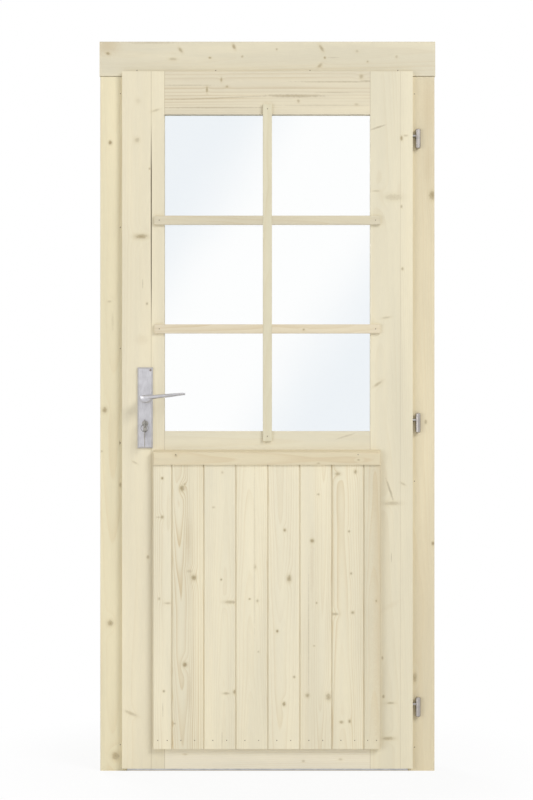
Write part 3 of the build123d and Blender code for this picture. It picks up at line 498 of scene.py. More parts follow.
@dataclass(frozen=True)
class Mark:
    """A knot, streak or soft dark patch, by its place on the outdoor face; patches are the wood's stains, and once
    painted shade.

    The place is across and along the doorway in metres, the size is half its width and half its length along the
    grain, dark is how strongly it shows and tilt is its turn on the face in radians.
    """

    x: float
    z: float
    wide: float
    long: float
    dark: float = 1.0
    tilt: float = 0.0
    sort: Sort = Sort.KNOT


@dataclass(frozen=True)
class Pine:
    """Planed spruce, unpainted: one timber cut from one trunk.

    Early and late are the colours of the soft and the hard part of a ring, and way is how the grain runs. Pith is
    where the trunk's heart passes, lean how it runs away along the grain, and waver how far it wanders. Ring is a
    year's growth, contrast how strongly the rings show, drift how much the tone varies, and seed picks the trunk.
    Seams are joints along the grain, as dark as seam_depth, and butts are joints across it, each by its place on
    the face.
    """

    name: str
    early: tuple[float, float, float] = (230, 222, 198)
    late: tuple[float, float, float] = (208, 186, 146)
    way: Way = Way.UPRIGHT
    pith: tuple[float, float] = (0.0, 0.09)
    lean: tuple[float, float] = (0.0, 0.01)
    ring: float = 0.0034
    waver: float = 0.006
    contrast: float = 0.6
    drift: float = 0.7
    seed: float = 0.0
    marks: tuple[Mark, ...] = ()
    seams: tuple[float, ...] = ()
    butts: tuple[float, ...] = ()
    seam_depth: float = 0.3

    def grain_place(self, s: Sheet, place: Socket) -> Socket:
        """The place with the grain turned along Z.

        Args:
            s: The material's sheet.
            place: The shaded point.

        Returns:
            The point as the grain sees it.
        """
        x, y, z = s.split(place)
        return s.join(z, y, x) if self.way is Way.LEVEL else s.join(x, y, z)

    def grain_point(self, x: float, z: float) -> tuple[float, float, float]:
        """A point of the face, given as the grain sees it.

        Args:
            x: Its place across the doorway.
            z: Its height.

        Returns:
            The point with the grain along Z.
        """
        return (z, 0.0, x) if self.way is Way.LEVEL else (x, 0.0, z)

    def place_marks(self, s: Sheet, place: Socket) -> tuple[object, object, object, object]:
        """Put the marks on the face, one after the other.

        Args:
            s: The material's sheet.
            place: The shaded point as the grain sees it.

        Returns:
            How far the rings are pushed, and the strength of cores, halos and soft dark patches, which are the
            wood's stains and, on the last board, painted shade.
        """
        push, core, halo, stain_and_shade = 0.0, 0.0, 0.0, 0.0
        wobble = s.sum("MULTIPLY", s.sway(place, 190.0, 2.0), 0.9)
        for mark in self.marks:
            knot, tint = mark.sort is Sort.KNOT, mark.sort is Sort.STAIN_AND_SHADE
            step = s.group(
                MARK, Place=place, Centre=self.grain_point(mark.x, mark.z),
                Size=(MARK_SPREAD * mark.wide, 1.0, MARK_SPREAD * mark.long), Tilt=mark.tilt, Wobble=wobble,
                Dark=0.0 if tint else mark.dark, Soft=mark.dark if knot else 0.0, Tint=mark.dark if tint else 0.0,
                Part=KNOT_PART * min(mark.wide, mark.long) if knot else 0.0, Push=push, Core=core, Halo=halo,
                Stain=stain_and_shade,
            )
            push, core, halo, stain_and_shade = (step.outputs[name] for name in ("Push", "Core", "Halo", "Stain"))
        return push, core, halo, stain_and_shade

    def draw_joints(self, s: Sheet, raw: Socket, colour: Socket) -> Socket:
        """Draw the glue lines, the dark lines at the boards' edges, which are partly dust in the grooves and partly
        painted shade, and the butt joints.

        Args:
            s: The material's sheet.
            raw: The shaded point.
            colour: The wood's colour.

        Returns:
            The colour with its joints.
        """
        x, _, z = s.split(raw)
        beside, ahead = (z, x) if self.way is Way.LEVEL else (x, z)
        for side, joints, depth in ((beside, self.seams, self.seam_depth), (ahead, self.butts, BUTT_DEPTH)):
            for joint in joints:
                line = s.sum("ABSOLUTE", s.sum("SUBTRACT", side, joint))
                colour = s.blend(s.span(line, *JOINT_LINE, depth, 0.0), colour, paint(*JOINT_TONE))
        return colour

    def material(self) -> bpy.types.Material:
        """Make the material.

        Returns:
            The wood's material, with its marks.
        """
        made, s = blank(self.name)
        raw = s.spot()
        place = self.grain_place(s, raw)
        push, core, halo, stain_and_shade = self.place_marks(s, place)
        rings = s.group(
            RINGS, Place=place, Pith=(*self.pith, 0), Lean=(*self.lean, 0), Push=push, Ring=self.ring,
            Waver=self.waver, Seed=self.seed,
        )
        drift, fibre = rings.outputs["Drift"], rings.outputs["Fibre"]
        late = s.sum("MULTIPLY", rings.outputs["Late"], self.contrast)
        colour = s.blend(late, paint(*self.early), paint(*self.late))
        tone = s.span(drift, 0.25, 0.75, 1 - 0.09 * self.drift, 1 + 0.05 * self.drift)
        warm = s.span(drift, 0.3, 0.8, 0.0, WARM_SHARE * self.drift)
        colour = s.blend(warm, colour, paint(*WARM_TONE))
        shade = s.sum("MULTIPLY", tone, s.span(fibre, 0.2, 0.8, 0.965, 1.02))
        colour = s.blend(1.0, colour, s.join(shade, shade, shade), "MULTIPLY")
        # soft patches lay the wood's stains, and on the last board painted shade, over the colour
        for mask, share, over in ((stain_and_shade, STAIN_AND_SHADE_SHARE, STAIN_AND_SHADE_TONE), (halo, HALO_SHARE, HALO_TONE),
                                  (core, CORE_SHARE, CORE_TONE)):
            colour = s.blend(s.sum("MULTIPLY", mask, share), colour, paint(*over))
        colour = self.draw_joints(s, raw, colour)
        height = s.sum("ADD", s.sum("MULTIPLY", late, 0.6), s.sum("MULTIPLY", fibre, 0.5))
        height = s.sum("SUBTRACT", height, s.sum("MULTIPLY", core, 0.4))
        s.surface(s.fed(
            "ShaderNodeBsdfPrincipled", {}, Base_Color=colour, Roughness=s.span(late, 0.0, 1.0, 0.68, 0.5),
            Specular_IOR_Level=0.32, Normal=s.bump(height, 0.35, 0.0002),
        ))
        return made


@dataclass(frozen=True)
class Metal:
    """A metal finish.

    Colour is its brightest tone, rough its roughness and spread how much that varies, stretch which way it was
    brushed, uneven how much darker its dull patches are, and bump how deep the scratches look.
    """

    name: str
    colour: tuple[float, float, float] = (198, 198, 200)
    rough: float = 0.35
    spread: float = 0.12
    stretch: tuple[float, float, float] = (1.0, 1.0, 0.05)
    uneven: float = 0.12
    bump: float = 0.12

    def material(self) -> bpy.types.Material:
        """Make the material.

        Returns:
            The metal's material.
        """
        made, s = blank(self.name)
        brushed = s.group(BRUSHED, Place=s.spot(), Stretch=self.stretch, Rough=self.rough, Spread=self.spread)
        low = tuple(value * (1 - self.uneven) for value in self.colour)
        s.surface(s.fed(
            "ShaderNodeBsdfPrincipled", {}, Metallic=1.0,
            Base_Color=s.blend(s.span(brushed.outputs["Tone"], 0.3, 0.7), paint(*low), paint(*self.colour)),
            Roughness=brushed.outputs["Roughness"], Normal=s.bump(brushed.outputs["Height"], self.bump, 0.0001),
        ))
        return made


@dataclass(frozen=True)
class ClearGlass:
    """Float glass with a faint cool tint.

    It is clear along a diagonal that rises through the middle of the pane at this height, and bluish from the
    first distance to the second on both sides of it. This banding is a painted reflection over the faint tint.
    """

    name: str = "clear glass"
    # the painted reflection's colours: clear on the diagonal, bluish away from it
    clear: tuple[float, float, float] = (253, 254, 254)
    tint_and_reflection: tuple[float, float, float] = (237, 242, 246)
    middle: float = 1.38
    slope: tuple[float, float] = (0.841, 0.541)
    fade: tuple[float, float] = (0.14, 0.4)

    def material(self) -> bpy.types.Material:
        """Make the material.

        Returns:
            The glass's material.
        """
        made, s = blank(self.name)
        place = s.spot()
        x, _, z = s.split(place)
        # painted reflection: the colour turns bluish away from a diagonal band
        rise = s.sum("MULTIPLY", s.sum("SUBTRACT", z, self.middle), self.slope[1])
        slant = s.sum("SUBTRACT", s.sum("MULTIPLY", x, self.slope[0]), rise)
        reflection_band = s.sum("ADD", s.sum("ABSOLUTE", slant), s.sum("MULTIPLY", s.noise(place, 3.0, 2.0), 0.1))
        s.surface(s.fed(
            "ShaderNodeBsdfPrincipled", {},
            Base_Color=s.blend(s.span(reflection_band, *self.fade), paint(*self.clear), paint(*self.tint_and_reflection)),
            Roughness=0.0, IOR=1.5, Transmission_Weight=1.0,
        ))
        return made


def dress(node: str, material: bpy.types.Material) -> None:
    """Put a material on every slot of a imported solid.

    Args:
        node: The solid's name.
        material: Its finish.
    """
    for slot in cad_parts[node].material_slots:
        slot.material = material


@dataclass
class FrameTimbers:
    """Posts, beam, sill and the casings on both sides of the wall."""

    finishes: dict[str, Pine] = field(default_factory=lambda: {
        "outer_casing_lock_side": Pine(
            "lock side casing", early=(229, 219, 187), late=(210, 186, 142), pith=(-0.43, 0.075),
            lean=(0.004, -0.012), ring=0.0036, seed=3.1, contrast=0.34, marks=(
                Mark(-0.4352, 1.7382, 0.0036, 0.0044, 1.0), Mark(-0.4504, 0.9986, 0.0053, 0.0064, 0.75),
                Mark(-0.4349, 0.4086, 0.0064, 0.0066, 0.7), Mark(-0.4205, 0.0413, 0.0083, 0.008, 0.7),
                Mark(-0.4072, 0.7908, 0.0025, 0.0061, 0.6), Mark(-0.4374, 1.2986, 0.0044, 0.0022, 0.35),
                Mark(-0.4582, 0.8839, 0.0022, 0.0022, 0.4), Mark(-0.4089, 0.9072, 0.0014, 0.0044, 0.6),
                Mark(-0.4282, 1.2423, 0.0028, 0.0194, 0.22, 0.0, Sort.STREAK),
            )),
        "outer_casing_hinge_side": Pine(
            "hinge side casing", early=(223, 211, 181), late=(208, 184, 140), pith=(0.41, 0.06), lean=(-0.01, 0.006),
            ring=0.0032, seed=8.7, contrast=0.26, marks=(
                Mark(0.4559, 1.5933, 0.0066, 0.01, 0.75), Mark(0.4582, 0.6291, 0.0033, 0.0039, 0.9),
                Mark(0.4382, 0.9653, 0.0028, 0.0044, 0.6), Mark(0.4077, 0.2579, 0.005, 0.01, 0.55),
                Mark(0.4449, 1.8407, 0.0138, 0.0665, 0.6, 0.0, Sort.STAIN_AND_SHADE),
                Mark(0.4449, 1.6772, 0.0111, 0.0499, 0.45, 0.0, Sort.STAIN_AND_SHADE),
                Mark(0.4338, 0.5, 0.0166, 0.1246, 0.3, 0.0, Sort.STAIN_AND_SHADE),
            )),
        "outer_casing_head": Pine(
            "head casing", early=(222, 214, 190), late=(204, 182, 142), way=Way.LEVEL, pith=(1.985, 0.05),
            lean=(0.01, 0.01), ring=0.0038, seed=5.4, contrast=0.26, marks=(
                Mark(-0.4413, 1.985, 0.003, 0.0047, 0.75, -0.4),
                Mark(-0.2404, 1.9947, 0.0033, 0.0064, 0.6, -0.9), Mark(-0.2612, 1.9697, 0.003, 0.0078, 0.4),
                Mark(-0.159, 1.9731, 0.0022, 0.003, 0.8), Mark(-0.0925, 2.0035, 0.0033, 0.0064, 0.7, -1.1),
                Mark(-0.0698, 1.9767, 0.0025, 0.0025, 0.5), Mark(0.0258, 1.9966, 0.0022, 0.0022, 0.5),
                Mark(0.1496, 1.9999, 0.0033, 0.0083, 0.6, -1.0), Mark(0.1587, 1.9733, 0.0025, 0.0025, 0.75),
                Mark(0.1817, 1.9736, 0.0014, 0.0138, 0.3, 0.0, Sort.STREAK),
                Mark(0.1454, 1.9515, 0.0033, 0.0066, 0.5, 0.8), Mark(0.2482, 1.9914, 0.0028, 0.0033, 0.35),
                Mark(0.2776, 1.9625, 0.0022, 0.0022, 0.5), Mark(0.3573, 1.9758, 0.0033, 0.0028, 0.35),
                Mark(-0.4415, 2.0069, 0.0222, 0.0277, 0.9, 0.0, Sort.STAIN_AND_SHADE),
                Mark(-0.3197, 2.0152, 0.0036, 0.0609, 0.25, 0.0, Sort.STREAK),
            )),
        "inner_casing_lock_side": Pine("inner lock casing", pith=(-0.42, -0.04), ring=0.003, seed=12.0, marks=(
            Mark(-0.431, 0.62, 0.006, 0.008), Mark(-0.44, 1.41, 0.004, 0.006))),
        "inner_casing_hinge_side": Pine("inner hinge casing", pith=(0.45, -0.06), ring=0.0035, seed=14.0, marks=(
            Mark(0.431, 1.12, 0.007, 0.009), Mark(0.42, 0.31, 0.004, 0.006))),
        "inner_casing_head": Pine("inner head casing", way=Way.LEVEL, pith=(1.95, -0.05), seed=16.0, marks=(
            Mark(0.21, 1.98, 0.007, 0.009), Mark(-0.31, 1.95, 0.004, 0.006))),
        "post_lock_side": Pine("lock side post", pith=(-0.38, 0.03), ring=0.003, seed=18.0),
        "post_hinge_side": Pine("hinge side post", pith=(0.43, 0.04), ring=0.0034, seed=20.0),
        "head_beam": Pine("head beam", way=Way.LEVEL, pith=(1.97, 0.05), seed=22.0),
        "sill": Pine("timber sill", way=Way.LEVEL, early=(222, 210, 180), pith=(-0.03, 0.02), seed=24.0),
    })

    def build(self) -> None:
        """Dress every timber of the frame."""
        for node, finish in self.finishes.items():
            dress(node, finish.material())
        log.info("frame timbers: %d dressed", len(self.finishes))


# where the rails butt against the stiles
RAIL_ENDS = (-0.284, 0.284)


@dataclass
class LeafTimbers:
    """Stiles, rails, glazing bars, beads and the weather bar."""

    finishes: dict[str, Pine] = field(default_factory=lambda: {
        "stile_lock_side": Pine(
            "lock stile", early=(229, 220, 194), late=(208, 189, 150), pith=(-0.35, 0.05), lean=(0.012, 0.004),
            ring=0.0036, seed=31.0, contrast=0.2, seams=(-0.3206,), marks=(
                Mark(-0.359, 1.7432, 0.0055, 0.0055, 0.4), Mark(-0.3252, 1.6642, 0.0019, 0.0025, 0.5),
                Mark(-0.3485, 1.477, 0.0133, 0.0055, 0.75), Mark(-0.3321, 1.2917, 0.0022, 0.003, 0.6),
                Mark(-0.3438, 1.3462, 0.0011, 0.0125, 0.55, 0.0, Sort.STREAK),
                Mark(-0.3565, 1.8512, 0.0061, 0.0061, 0.15), Mark(-0.308, 1.8252, 0.0089, 0.0025, 0.35, -0.3),
                Mark(-0.3296, 0.5931, 0.003, 0.0036, 0.6), Mark(-0.3764, 0.1612, 0.0138, 0.0033, 0.4, 0.4),
                Mark(-0.3656, 0.8534, 0.0069, 0.0022, 0.3, 0.5),
                Mark(-0.3474, 1.1925, 0.0138, 0.0111, 0.35, 0.0, Sort.STAIN_AND_SHADE),
            )),
        "stile_hinge_side": Pine(
            "hinge stile", early=(228, 220, 195), late=(206, 188, 150), pith=(0.33, 0.045), lean=(-0.014, 0.008),
            ring=0.0034, seed=33.0, contrast=0.2, seams=(0.367,), seam_depth=0.16, marks=(
                Mark(0.3053, 1.7783, 0.0183, 0.0022, 0.55, -0.32, Sort.STREAK),
                Mark(0.3701, 1.7484, 0.0028, 0.005, 0.75), Mark(0.3812, 1.7556, 0.0044, 0.0022, 0.4),
                Mark(0.3479, 1.5858, 0.0183, 0.0072, 0.28),
                Mark(0.364, 1.608, 0.0044, 0.0166, 0.3, 0.15, Sort.STAIN_AND_SHADE),
                Mark(0.2994, 1.6027, 0.0083, 0.0019, 0.3), Mark(0.3701, 1.5598, 0.0022, 0.0033, 0.5),
                Mark(0.3728, 1.3878, 0.0025, 0.0033, 0.55), Mark(0.3282, 1.2534, 0.0097, 0.0022, 0.35, -0.15),
                Mark(0.305, 1.0706, 0.01, 0.0028, 0.5, -0.6),
                Mark(0.3377, 0.7778, 0.0028, 0.0266, 0.6, -0.32, Sort.STREAK),
                Mark(0.3438, 0.741, 0.0172, 0.0042, 0.38), Mark(0.3742, 0.7947, 0.0061, 0.0025, 0.35, 0.5),
                Mark(0.3421, 0.5914, 0.0012, 0.0125, 0.5, 0.0, Sort.STREAK),
                Mark(0.3396, 0.4584, 0.0222, 0.0061, 0.3, -0.5, Sort.STAIN_AND_SHADE),
                Mark(0.3174, 0.3144, 0.0022, 0.0033, 0.5), Mark(0.3202, 0.208, 0.0025, 0.0033, 0.6),
                Mark(0.3388, 0.19, 0.0091, 0.0025, 0.5), Mark(0.3338, 0.0922, 0.0122, 0.0039, 0.55),
            )),
        "rail_top": Pine(
            "top rail", early=(221, 212, 188), late=(186, 162, 122), way=Way.LEVEL, butts=RAIL_ENDS,
            pith=(1.90, -0.075), lean=(0.004, 0.002), ring=0.0075, seed=35.0, contrast=0.6, waver=0.003, marks=(
                Mark(-0.1271, 1.9099, 0.005, 0.0022, 0.6), Mark(-0.1668, 1.8822, 0.0066, 0.0022, 0.75),
                Mark(-0.1114, 1.8908, 0.0025, 0.0025, 0.5), Mark(0.0853, 1.8504, 0.0036, 0.003, 0.5),
                Mark(0.2454, 1.8407, 0.003, 0.0044, 0.35), Mark(0.2593, 1.9185, 0.005, 0.0042, 0.5),
                Mark(-0.2282, 1.8944, 0.0014, 0.0665, 0.4, 0.0, Sort.STREAK),
                Mark(0.19, 1.9038, 0.0017, 0.0997, 0.5, 0.0, Sort.STREAK),
                Mark(0.2731, 1.906, 0.0022, 0.0138, 0.5, 0.0, Sort.STREAK),
                Mark(0.0709, 1.865, 0.0036, 0.0692, 0.6, 0.0, Sort.STREAK),
                Mark(0.1817, 1.8747, 0.0012, 0.0443, 0.35, 0.0, Sort.STREAK),
                Mark(-0.1174, 1.8601, 0.0017, 0.1246, 0.4, 0.04, Sort.STREAK),
                Mark(-0.1451, 1.8324, 0.0017, 0.1385, 0.45, 0.0, Sort.STREAK),
                Mark(0.1596, 1.839, 0.0014, 0.133, 0.3, 0.0, Sort.STREAK),
            )),
        "rail_middle": Pine(
            "middle rail", early=(223, 216, 193), late=(206, 186, 146), way=Way.LEVEL, butts=RAIL_ENDS,
            pith=(0.91, 0.01), ring=0.004, seed=37.0, contrast=0.22, waver=0.004, marks=(
                Mark(0.2177, 0.9266, 0.0022, 0.0222, 0.35, 0.3, Sort.STREAK),
            )),
        "rail_bottom": Pine(
            "bottom rail", early=(230, 223, 204), late=(207, 186, 148), way=Way.LEVEL, butts=RAIL_ENDS,
            pith=(0.10, 0.02), ring=0.0042, seed=39.0, contrast=0.28, marks=(
                Mark(0.0992, 0.0299, 0.0025, 0.0033, 0.35), Mark(0.2019, 0.0346, 0.0028, 0.0044, 0.3),
                Mark(-0.2271, 0.0485, 0.0022, 0.0055, 0.3),
            )),
        "bar_vertical": Pine("upright glazing bar", early=(220, 213, 187), late=(196, 176, 130), pith=(0.01, 0.02),
                             ring=0.0026, seed=41.0, contrast=0.35),
        "bar_lower": Pine("lower glazing bar", early=(225, 213, 187), late=(196, 172, 128), way=Way.LEVEL,
                          pith=(1.24, 0.03), ring=0.0028, seed=43.0, contrast=0.4, marks=(
                Mark(0.1, 1.2202, 0.0022, 0.0022, 0.7),
            )),
        "bar_upper": Pine("upper glazing bar", early=(215, 206, 181), late=(196, 172, 128), way=Way.LEVEL,
                          pith=(1.50, 0.02), ring=0.0028, seed=45.0, contrast=0.4),
        "bead_bottom": Pine("bottom bead", way=Way.LEVEL, pith=(0.95, 0.05), seed=47.0),
        "bead_top": Pine("top bead", way=Way.LEVEL, pith=(1.80, 0.05), seed=49.0),
        "bead_lock_side": Pine("lock side bead", pith=(-0.3, 0.05), seed=51.0),
        "bead_hinge_side": Pine("hinge side bead", pith=(0.3, 0.05), seed=53.0),
        "weather_bar": Pine("weather bar", early=(219, 207, 177), late=(196, 168, 124), way=Way.LEVEL,
                            pith=(0.865, -0.02), ring=0.0035, seed=55.0, contrast=0.5, marks=(
                Mark(-0.2512, 0.8737, 0.0033, 0.0028, 0.6), Mark(0.2501, 0.8615, 0.0019, 0.0028, 0.6),
                Mark(0.1399, 0.8523, 0.0014, 0.0039, 0.45),
            )),
    })

    def build(self) -> None:
        """Dress every timber of the leaf but the boards."""
        for node, finish in self.finishes.items():
            dress(node, finish.material())
        log.info("leaf timbers: %d dressed", len(self.finishes))


@dataclass
class BoardPanel:
    """The eight tongued boards, each from its own part of a trunk.

    Dims are how much darker each board is, and joints where the boards meet. From one board to the next the cut
    turns by two angles, which swing the pith across the board and its lean by so much at most. Pith_depth is the
    pith's depth and its step, and seeds are the first seed and its step.
    """

    early: tuple[float, float, float] = (235, 227, 202)
    late: tuple[float, float, float] = (203, 180, 136)
    dims: tuple[float, ...] = (2, 5, 3, 3, 0, 2, 5, 15)
    contrasts: tuple[float, ...] = (0.4, 0.8, 0.2, 0.28, 0.3, 0.42, 0.6, 0.45)
    rings: tuple[float, ...] = (0.0034, 0.003, 0.0042, 0.0036, 0.0044, 0.003, 0.0038, 0.0032)
    joints: tuple[float, ...] = (-0.314, -0.263, -0.175, -0.087, 0.001, 0.089, 0.177, 0.265, 0.311)
    turns: tuple[float, float] = (2.4, 1.7)
    pith_swing: float = 0.014
    pith_depth: tuple[float, float] = (-0.045, 0.010)
    lean_swing: tuple[float, float] = (0.012, 0.02)
    seeds: tuple[float, float] = (60.0, 2.3)
    # the boards' knot marks, streaks and stains, and one patch of painted shade on the last board
    board_marks: tuple[Mark, ...] = (
        Mark(-0.2892, 0.8108, 0.0025, 0.0028, 0.9), Mark(-0.2897, 0.7041, 0.0033, 0.0036, 0.7),
        Mark(-0.3003, 0.7036, 0.0042, 0.0017, 0.3), Mark(-0.2975, 0.4795, 0.0022, 0.003, 0.5),
        Mark(-0.2742, 0.4673, 0.0066, 0.0022, 0.4), Mark(-0.2848, 0.2252, 0.0025, 0.0025, 0.6),
        Mark(-0.2875, 0.1731, 0.0011, 0.0194, 0.4, 0.0, Sort.STREAK),
        Mark(-0.2352, 0.7828, 0.0053, 0.0058, 0.85), Mark(-0.2271, 0.7944, 0.0028, 0.0025, 0.4),
        Mark(-0.2025, 0.5377, 0.0053, 0.0058, 0.85), Mark(-0.2144, 0.5554, 0.0055, 0.0033, 0.3),
        Mark(-0.2271, 0.2986, 0.0047, 0.0053, 0.85), Mark(-0.2177, 0.644, 0.0055, 0.0432, 0.66, 0.0, Sort.STAIN_AND_SHADE),
        Mark(-0.2144, 0.223, 0.0046, 0.0432, 0.55, 0.0, Sort.STAIN_AND_SHADE),
        Mark(-0.2565, 0.1363, 0.0033, 0.0019, 0.45), Mark(-0.1479, 0.731, 0.0033, 0.0022, 0.35),
        Mark(-0.1238, 0.8268, 0.003, 0.0028, 0.3), Mark(-0.1271, 0.5324, 0.0022, 0.0022, 0.65),
        Mark(-0.1036, 0.4703, 0.0116, 0.0033, 0.5), Mark(-0.0925, 0.4698, 0.0033, 0.003, 0.5),
        Mark(-0.1133, 0.2191, 0.0072, 0.0025, 0.45), Mark(-0.0909, 0.223, 0.003, 0.0042, 0.8),
        Mark(-0.1249, 0.09, 0.0011, 0.0222, 0.4, 0.0, Sort.STREAK), Mark(-0.0488, 0.4789, 0.0025, 0.0019, 0.6),
        Mark(-0.0271, 0.4737, 0.0028, 0.0033, 0.45),
        Mark(-0.0355, 0.6163, 0.0022, 0.2216, 0.2, 0.0, Sort.STREAK), Mark(-0.0338, 0.5665, 0.0025, 0.0044, 0.4),
        Mark(-0.0249, 0.3338, 0.0022, 0.0022, 0.35), Mark(0.0274, 0.3903, 0.0025, 0.003, 0.85),
        Mark(0.0476, 0.6684, 0.0028, 0.0036, 0.75), Mark(0.0596, 0.5349, 0.005, 0.0078, 0.7),
        Mark(0.0457, 0.1903, 0.0033, 0.0044, 0.85), Mark(0.0737, 0.2645, 0.0028, 0.0028, 0.6),
        Mark(0.1399, 0.7665, 0.0028, 0.0022, 0.55), Mark(0.1233, 0.6388, 0.0042, 0.0044, 0.8),
        Mark(0.1352, 0.4681, 0.0022, 0.0022, 0.6), Mark(0.1285, 0.3499, 0.0022, 0.0019, 0.5),
        Mark(0.1097, 0.2136, 0.0044, 0.0047, 0.6), Mark(0.1679, 0.2097, 0.0055, 0.0072, 0.6),
        Mark(0.1227, 0.5665, 0.004, 0.0792, 0.48, 0.0, Sort.STAIN_AND_SHADE),
        Mark(0.1133, 0.3836, 0.0011, 0.1551, 0.35, 0.0, Sort.STREAK), Mark(0.1933, 0.823, 0.0061, 0.0036, 0.55),
        Mark(0.2421, 0.8288, 0.0033, 0.0042, 0.75), Mark(0.2246, 0.6648, 0.0025, 0.0025, 0.6),
        Mark(0.2302, 0.549, 0.0025, 0.0028, 0.6), Mark(0.1856, 0.4374, 0.0072, 0.0028, 0.5),
        Mark(0.2346, 0.4415, 0.0036, 0.0033, 0.65), Mark(0.2036, 0.1402, 0.0042, 0.0033, 0.6),
        Mark(0.2258, 0.1429, 0.0028, 0.0036, 0.65), Mark(0.2992, 0.4737, 0.0022, 0.0028, 0.6),
        # painted shade: this patch darkens the last board towards its right edge
        Mark(0.3091, 0.5831, 0.0166, 0.4709, 0.75, 0.0, Sort.STAIN_AND_SHADE),
    )

    def finish(self, number: int) -> Pine:
        """One board's finish.

        Args:
            number: Which board, from 1 at the lock side.

        Returns:
            The wood for that board.
        """
        left, right = self.joints[number - 1], self.joints[number]
        swing = math.sin(number * self.turns[0])
        dim = self.dims[number - 1]
        return Pine(
            f"board {number} wood", early=tuple(value - dim for value in self.early), late=self.late,
            pith=((left + right) / 2 + self.pith_swing * swing,
                  self.pith_depth[0] + self.pith_depth[1] * (number % 3)),
            lean=(self.lean_swing[0] * swing, self.lean_swing[1] * math.cos(number * self.turns[1])),
            ring=self.rings[number - 1], waver=0.007, seed=self.seeds[0] + self.seeds[1] * number,
            contrast=self.contrasts[number - 1],
            # a dark line at each board's two edges: partly dust in the grooves, partly painted shade where grooves
            # and panel edges fall into shade
            marks=tuple(knot for knot in self.board_marks if left <= knot.x < right), seams=(left, right),
        )

    def build(self) -> None:
        """Dress the boards."""
        for number in range(1, len(self.rings) + 1):
            dress(f"board_{number}", self.finish(number).material())
        log.info("board panel: %d boards dressed", len(self.rings))


@dataclass
class Ironmongery:
    """Handles, lock, cylinder, keys, hinges, nails and the sill strip."""

    finishes: dict[Metal, tuple[str, ...]] = field(default_factory=lambda: {
        Metal("satin aluminium", (203, 202, 206), 0.4): (
            "plate_outer", "plate_inner", "lever_outer", "lever_inner"),
        Metal("galvanised screws", (138, 128, 122), 0.4): ("plate_screws", "strike_screws", "forend_screws"),
        Metal("galvanised lock steel", (190, 190, 194), 0.42, stretch=(1, 1, 0.1)): (
            "strike_plate", "lock_case", "lock_forend", "lock_follower", "latch_bolt", "deadbolt", "spindle"),
        Metal("nickelled brass", (176, 173, 166), 0.22, 0.1, (1, 1, 1)): (
            "cylinder_body", "cylinder_plug", "key", "spare_key"),
        Metal("spring steel wire", (140, 138, 136), 0.25, 0.05, (1, 1, 1)): ("key_ring",),
        Metal("galvanised hinge steel", (180, 175, 171), 0.36, 0.15, (0.2, 0.2, 1)): (
            "hinge_bottom_lower", "hinge_middle_lower", "hinge_top_lower", "hinge_bottom_upper",
            "hinge_middle_upper", "hinge_top_upper"),
        Metal("bright nail steel", (128, 116, 100), 0.45): ("casing_nails", "leaf_nails"),
        Metal("mill aluminium", (206, 205, 206), 0.5, 0.1, (0.05, 1, 1)): ("sill_strip",),
    })

    def build(self) -> None:
        """Dress the metal."""
        for finish, nodes in self.finishes.items():
            material = finish.material()
            for node in nodes:
                dress(node, material)
            log.info("%s: %s", finish.name, ", ".join(nodes))


@dataclass(frozen=True)
class Lamp:
    """A soft square lamp: where it hangs, its side in metres, its power in watts and the point it faces."""

    name: str
    place: tuple[float, float, float]
    size: float
    power: float
    target: tuple[float, float, float] = (0.0, 0.0, 1.0)

    def build(self) -> None:
        """Hang the lamp."""
        data = bpy.data.lights.new(self.name, "AREA")
        data.shape = "SQUARE"
        data.size = self.size
        data.energy = self.power
        lamp = bpy.data.objects.new(self.name, data)
        lamp.location = self.place
        lamp.rotation_euler = (Vector(self.target) - Vector(self.place)).to_track_quat("-Z", "Y").to_euler()
        bpy.context.scene.collection.objects.link(lamp)


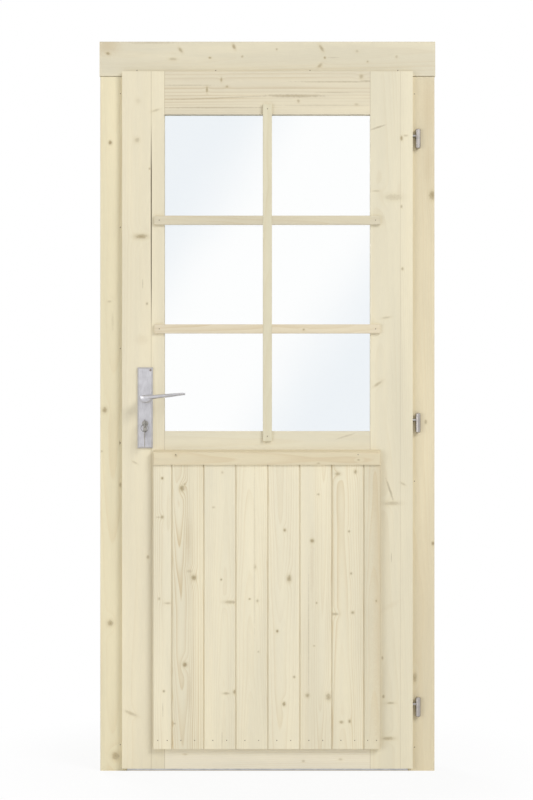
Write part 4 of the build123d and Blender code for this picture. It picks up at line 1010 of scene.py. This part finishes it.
@dataclass
class Studio:
    """A pale floor, soft lamps and the camera straight in front of the door.

    The camera stands the distance in front of the face at plane, and sky is how bright the world is as light. The
    floor reaches so far each way and gives back floor_grey of the light. It glows as white as the world, less by
    the door so that the shadow shows: near_glow up to the first distance of glow_fade, and full from the second.
    """

    lens: float = 78.05
    sensor: float = 36.0
    distance: float = 4.8
    eye_height: float = 1.026
    aside: float = -0.0025
    plane: float = -0.0405
    sky: float = 0.48
    floor_reach: float = 4.0
    floor_grey: float = 0.86
    near_glow: float = 0.88
    glow_fade: tuple[float, float] = (0.45, 1.0)
    lamps: tuple[Lamp, ...] = (
        Lamp("key lamp", (4.4, -4.8, 5.2), 2.8, 280),
        Lamp("fill lamp", (-3.4, -3.6, 0.8), 2.6, 64),
        Lamp("back lamp", (-3.0, 4.6, 3.4), 2.8, 160),
    )

    def floor(self) -> None:
        """A pale floor that keeps the door's shadow."""
        mesh = bpy.data.meshes.new("studio_floor")
        corners = [(x * self.floor_reach, y * self.floor_reach, 0) for x, y in ((-1, -1), (1, -1), (1, 1), (-1, 1))]
        mesh.from_pydata(corners, [], [(0, 1, 2, 3)])
        floor = bpy.data.objects.new("studio_floor", mesh)
        bpy.context.scene.collection.objects.link(floor)
        made, s = blank("pale floor")
        cast = s.fed("ShaderNodeBsdfDiffuse", {}, Color=(self.floor_grey,) * 3 + (1,))
        glow = s.fed("ShaderNodeEmission", {}, Color=(1, 1, 1, 1))
        away = s.vector("LENGTH", s.spot(), result=1)
        mix = s.node("ShaderNodeMixShader")
        share = s.sum("MULTIPLY", self.seen(s), s.span(away, *self.glow_fade, self.near_glow, 1.0))
        for target, value in zip(mix.inputs, (share, cast.outputs[0], glow.outputs[0])):
            s.feed(target, value)
        s.surface(mix)
        mesh.materials.append(made)

    def seen(self, s: Sheet) -> Socket:
        """Tell what is seen from what only lights.

        Args:
            s: The sheet.

        Returns:
            1 on rays from the camera, a reflection or through glass, and 0 on the light's own.
        """
        path = s.node("ShaderNodeLightPath")
        both = s.sum("ADD", path.outputs["Is Camera Ray"], path.outputs["Is Glossy Ray"])
        return s.sum("ADD", both, path.outputs["Is Transmission Ray"], clamp=True)

    def world(self) -> None:
        """White where it is seen, and a soft grey as light."""
        made = bpy.data.worlds.new("white studio")
        made.use_nodes = True
        made.node_tree.nodes.clear()
        s = Sheet(made.node_tree)
        strength = s.node("ShaderNodeMapRange")
        for target, value in zip(strength.inputs, (self.seen(s), 0.0, 1.0, self.sky, 1.0)):
            s.feed(target, value)
        back = s.fed("ShaderNodeBackground", {}, Color=(1, 1, 1, 1), Strength=strength.outputs[0])
        s.fed("ShaderNodeOutputWorld", {}, Surface=back.outputs[0])
        bpy.context.scene.world = made

    def camera(self) -> None:
        """The camera, level with the door's middle."""
        data = bpy.data.cameras.new("front camera")
        data.lens = self.lens
        data.sensor_width = self.sensor
        data.clip_end = 100.0
        camera = bpy.data.objects.new("front camera", data)
        camera.location = (self.aside, self.plane - self.distance, self.eye_height)
        camera.rotation_euler = (math.pi / 2, 0, 0)
        bpy.context.scene.collection.objects.link(camera)
        bpy.context.scene.camera = camera

    def build(self) -> None:
        """Set up the studio."""
        self.floor()
        self.world()
        for lamp in self.lamps:
            lamp.build()
        self.camera()
        bpy.context.scene.view_settings.view_transform = "Standard"
        log.info("studio: floor, sky, %d lamps and the camera", len(self.lamps))


def main() -> None:
    """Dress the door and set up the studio."""
    logging.basicConfig(level=logging.INFO, format="%(name)s: %(message)s")
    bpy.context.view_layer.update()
    for section in (FrameTimbers(), LeafTimbers(), BoardPanel(), Ironmongery()):
        section.build()
    dress("glass_pane", ClearGlass().material())
    Studio().build()


if __name__ == "__main__":
    main()
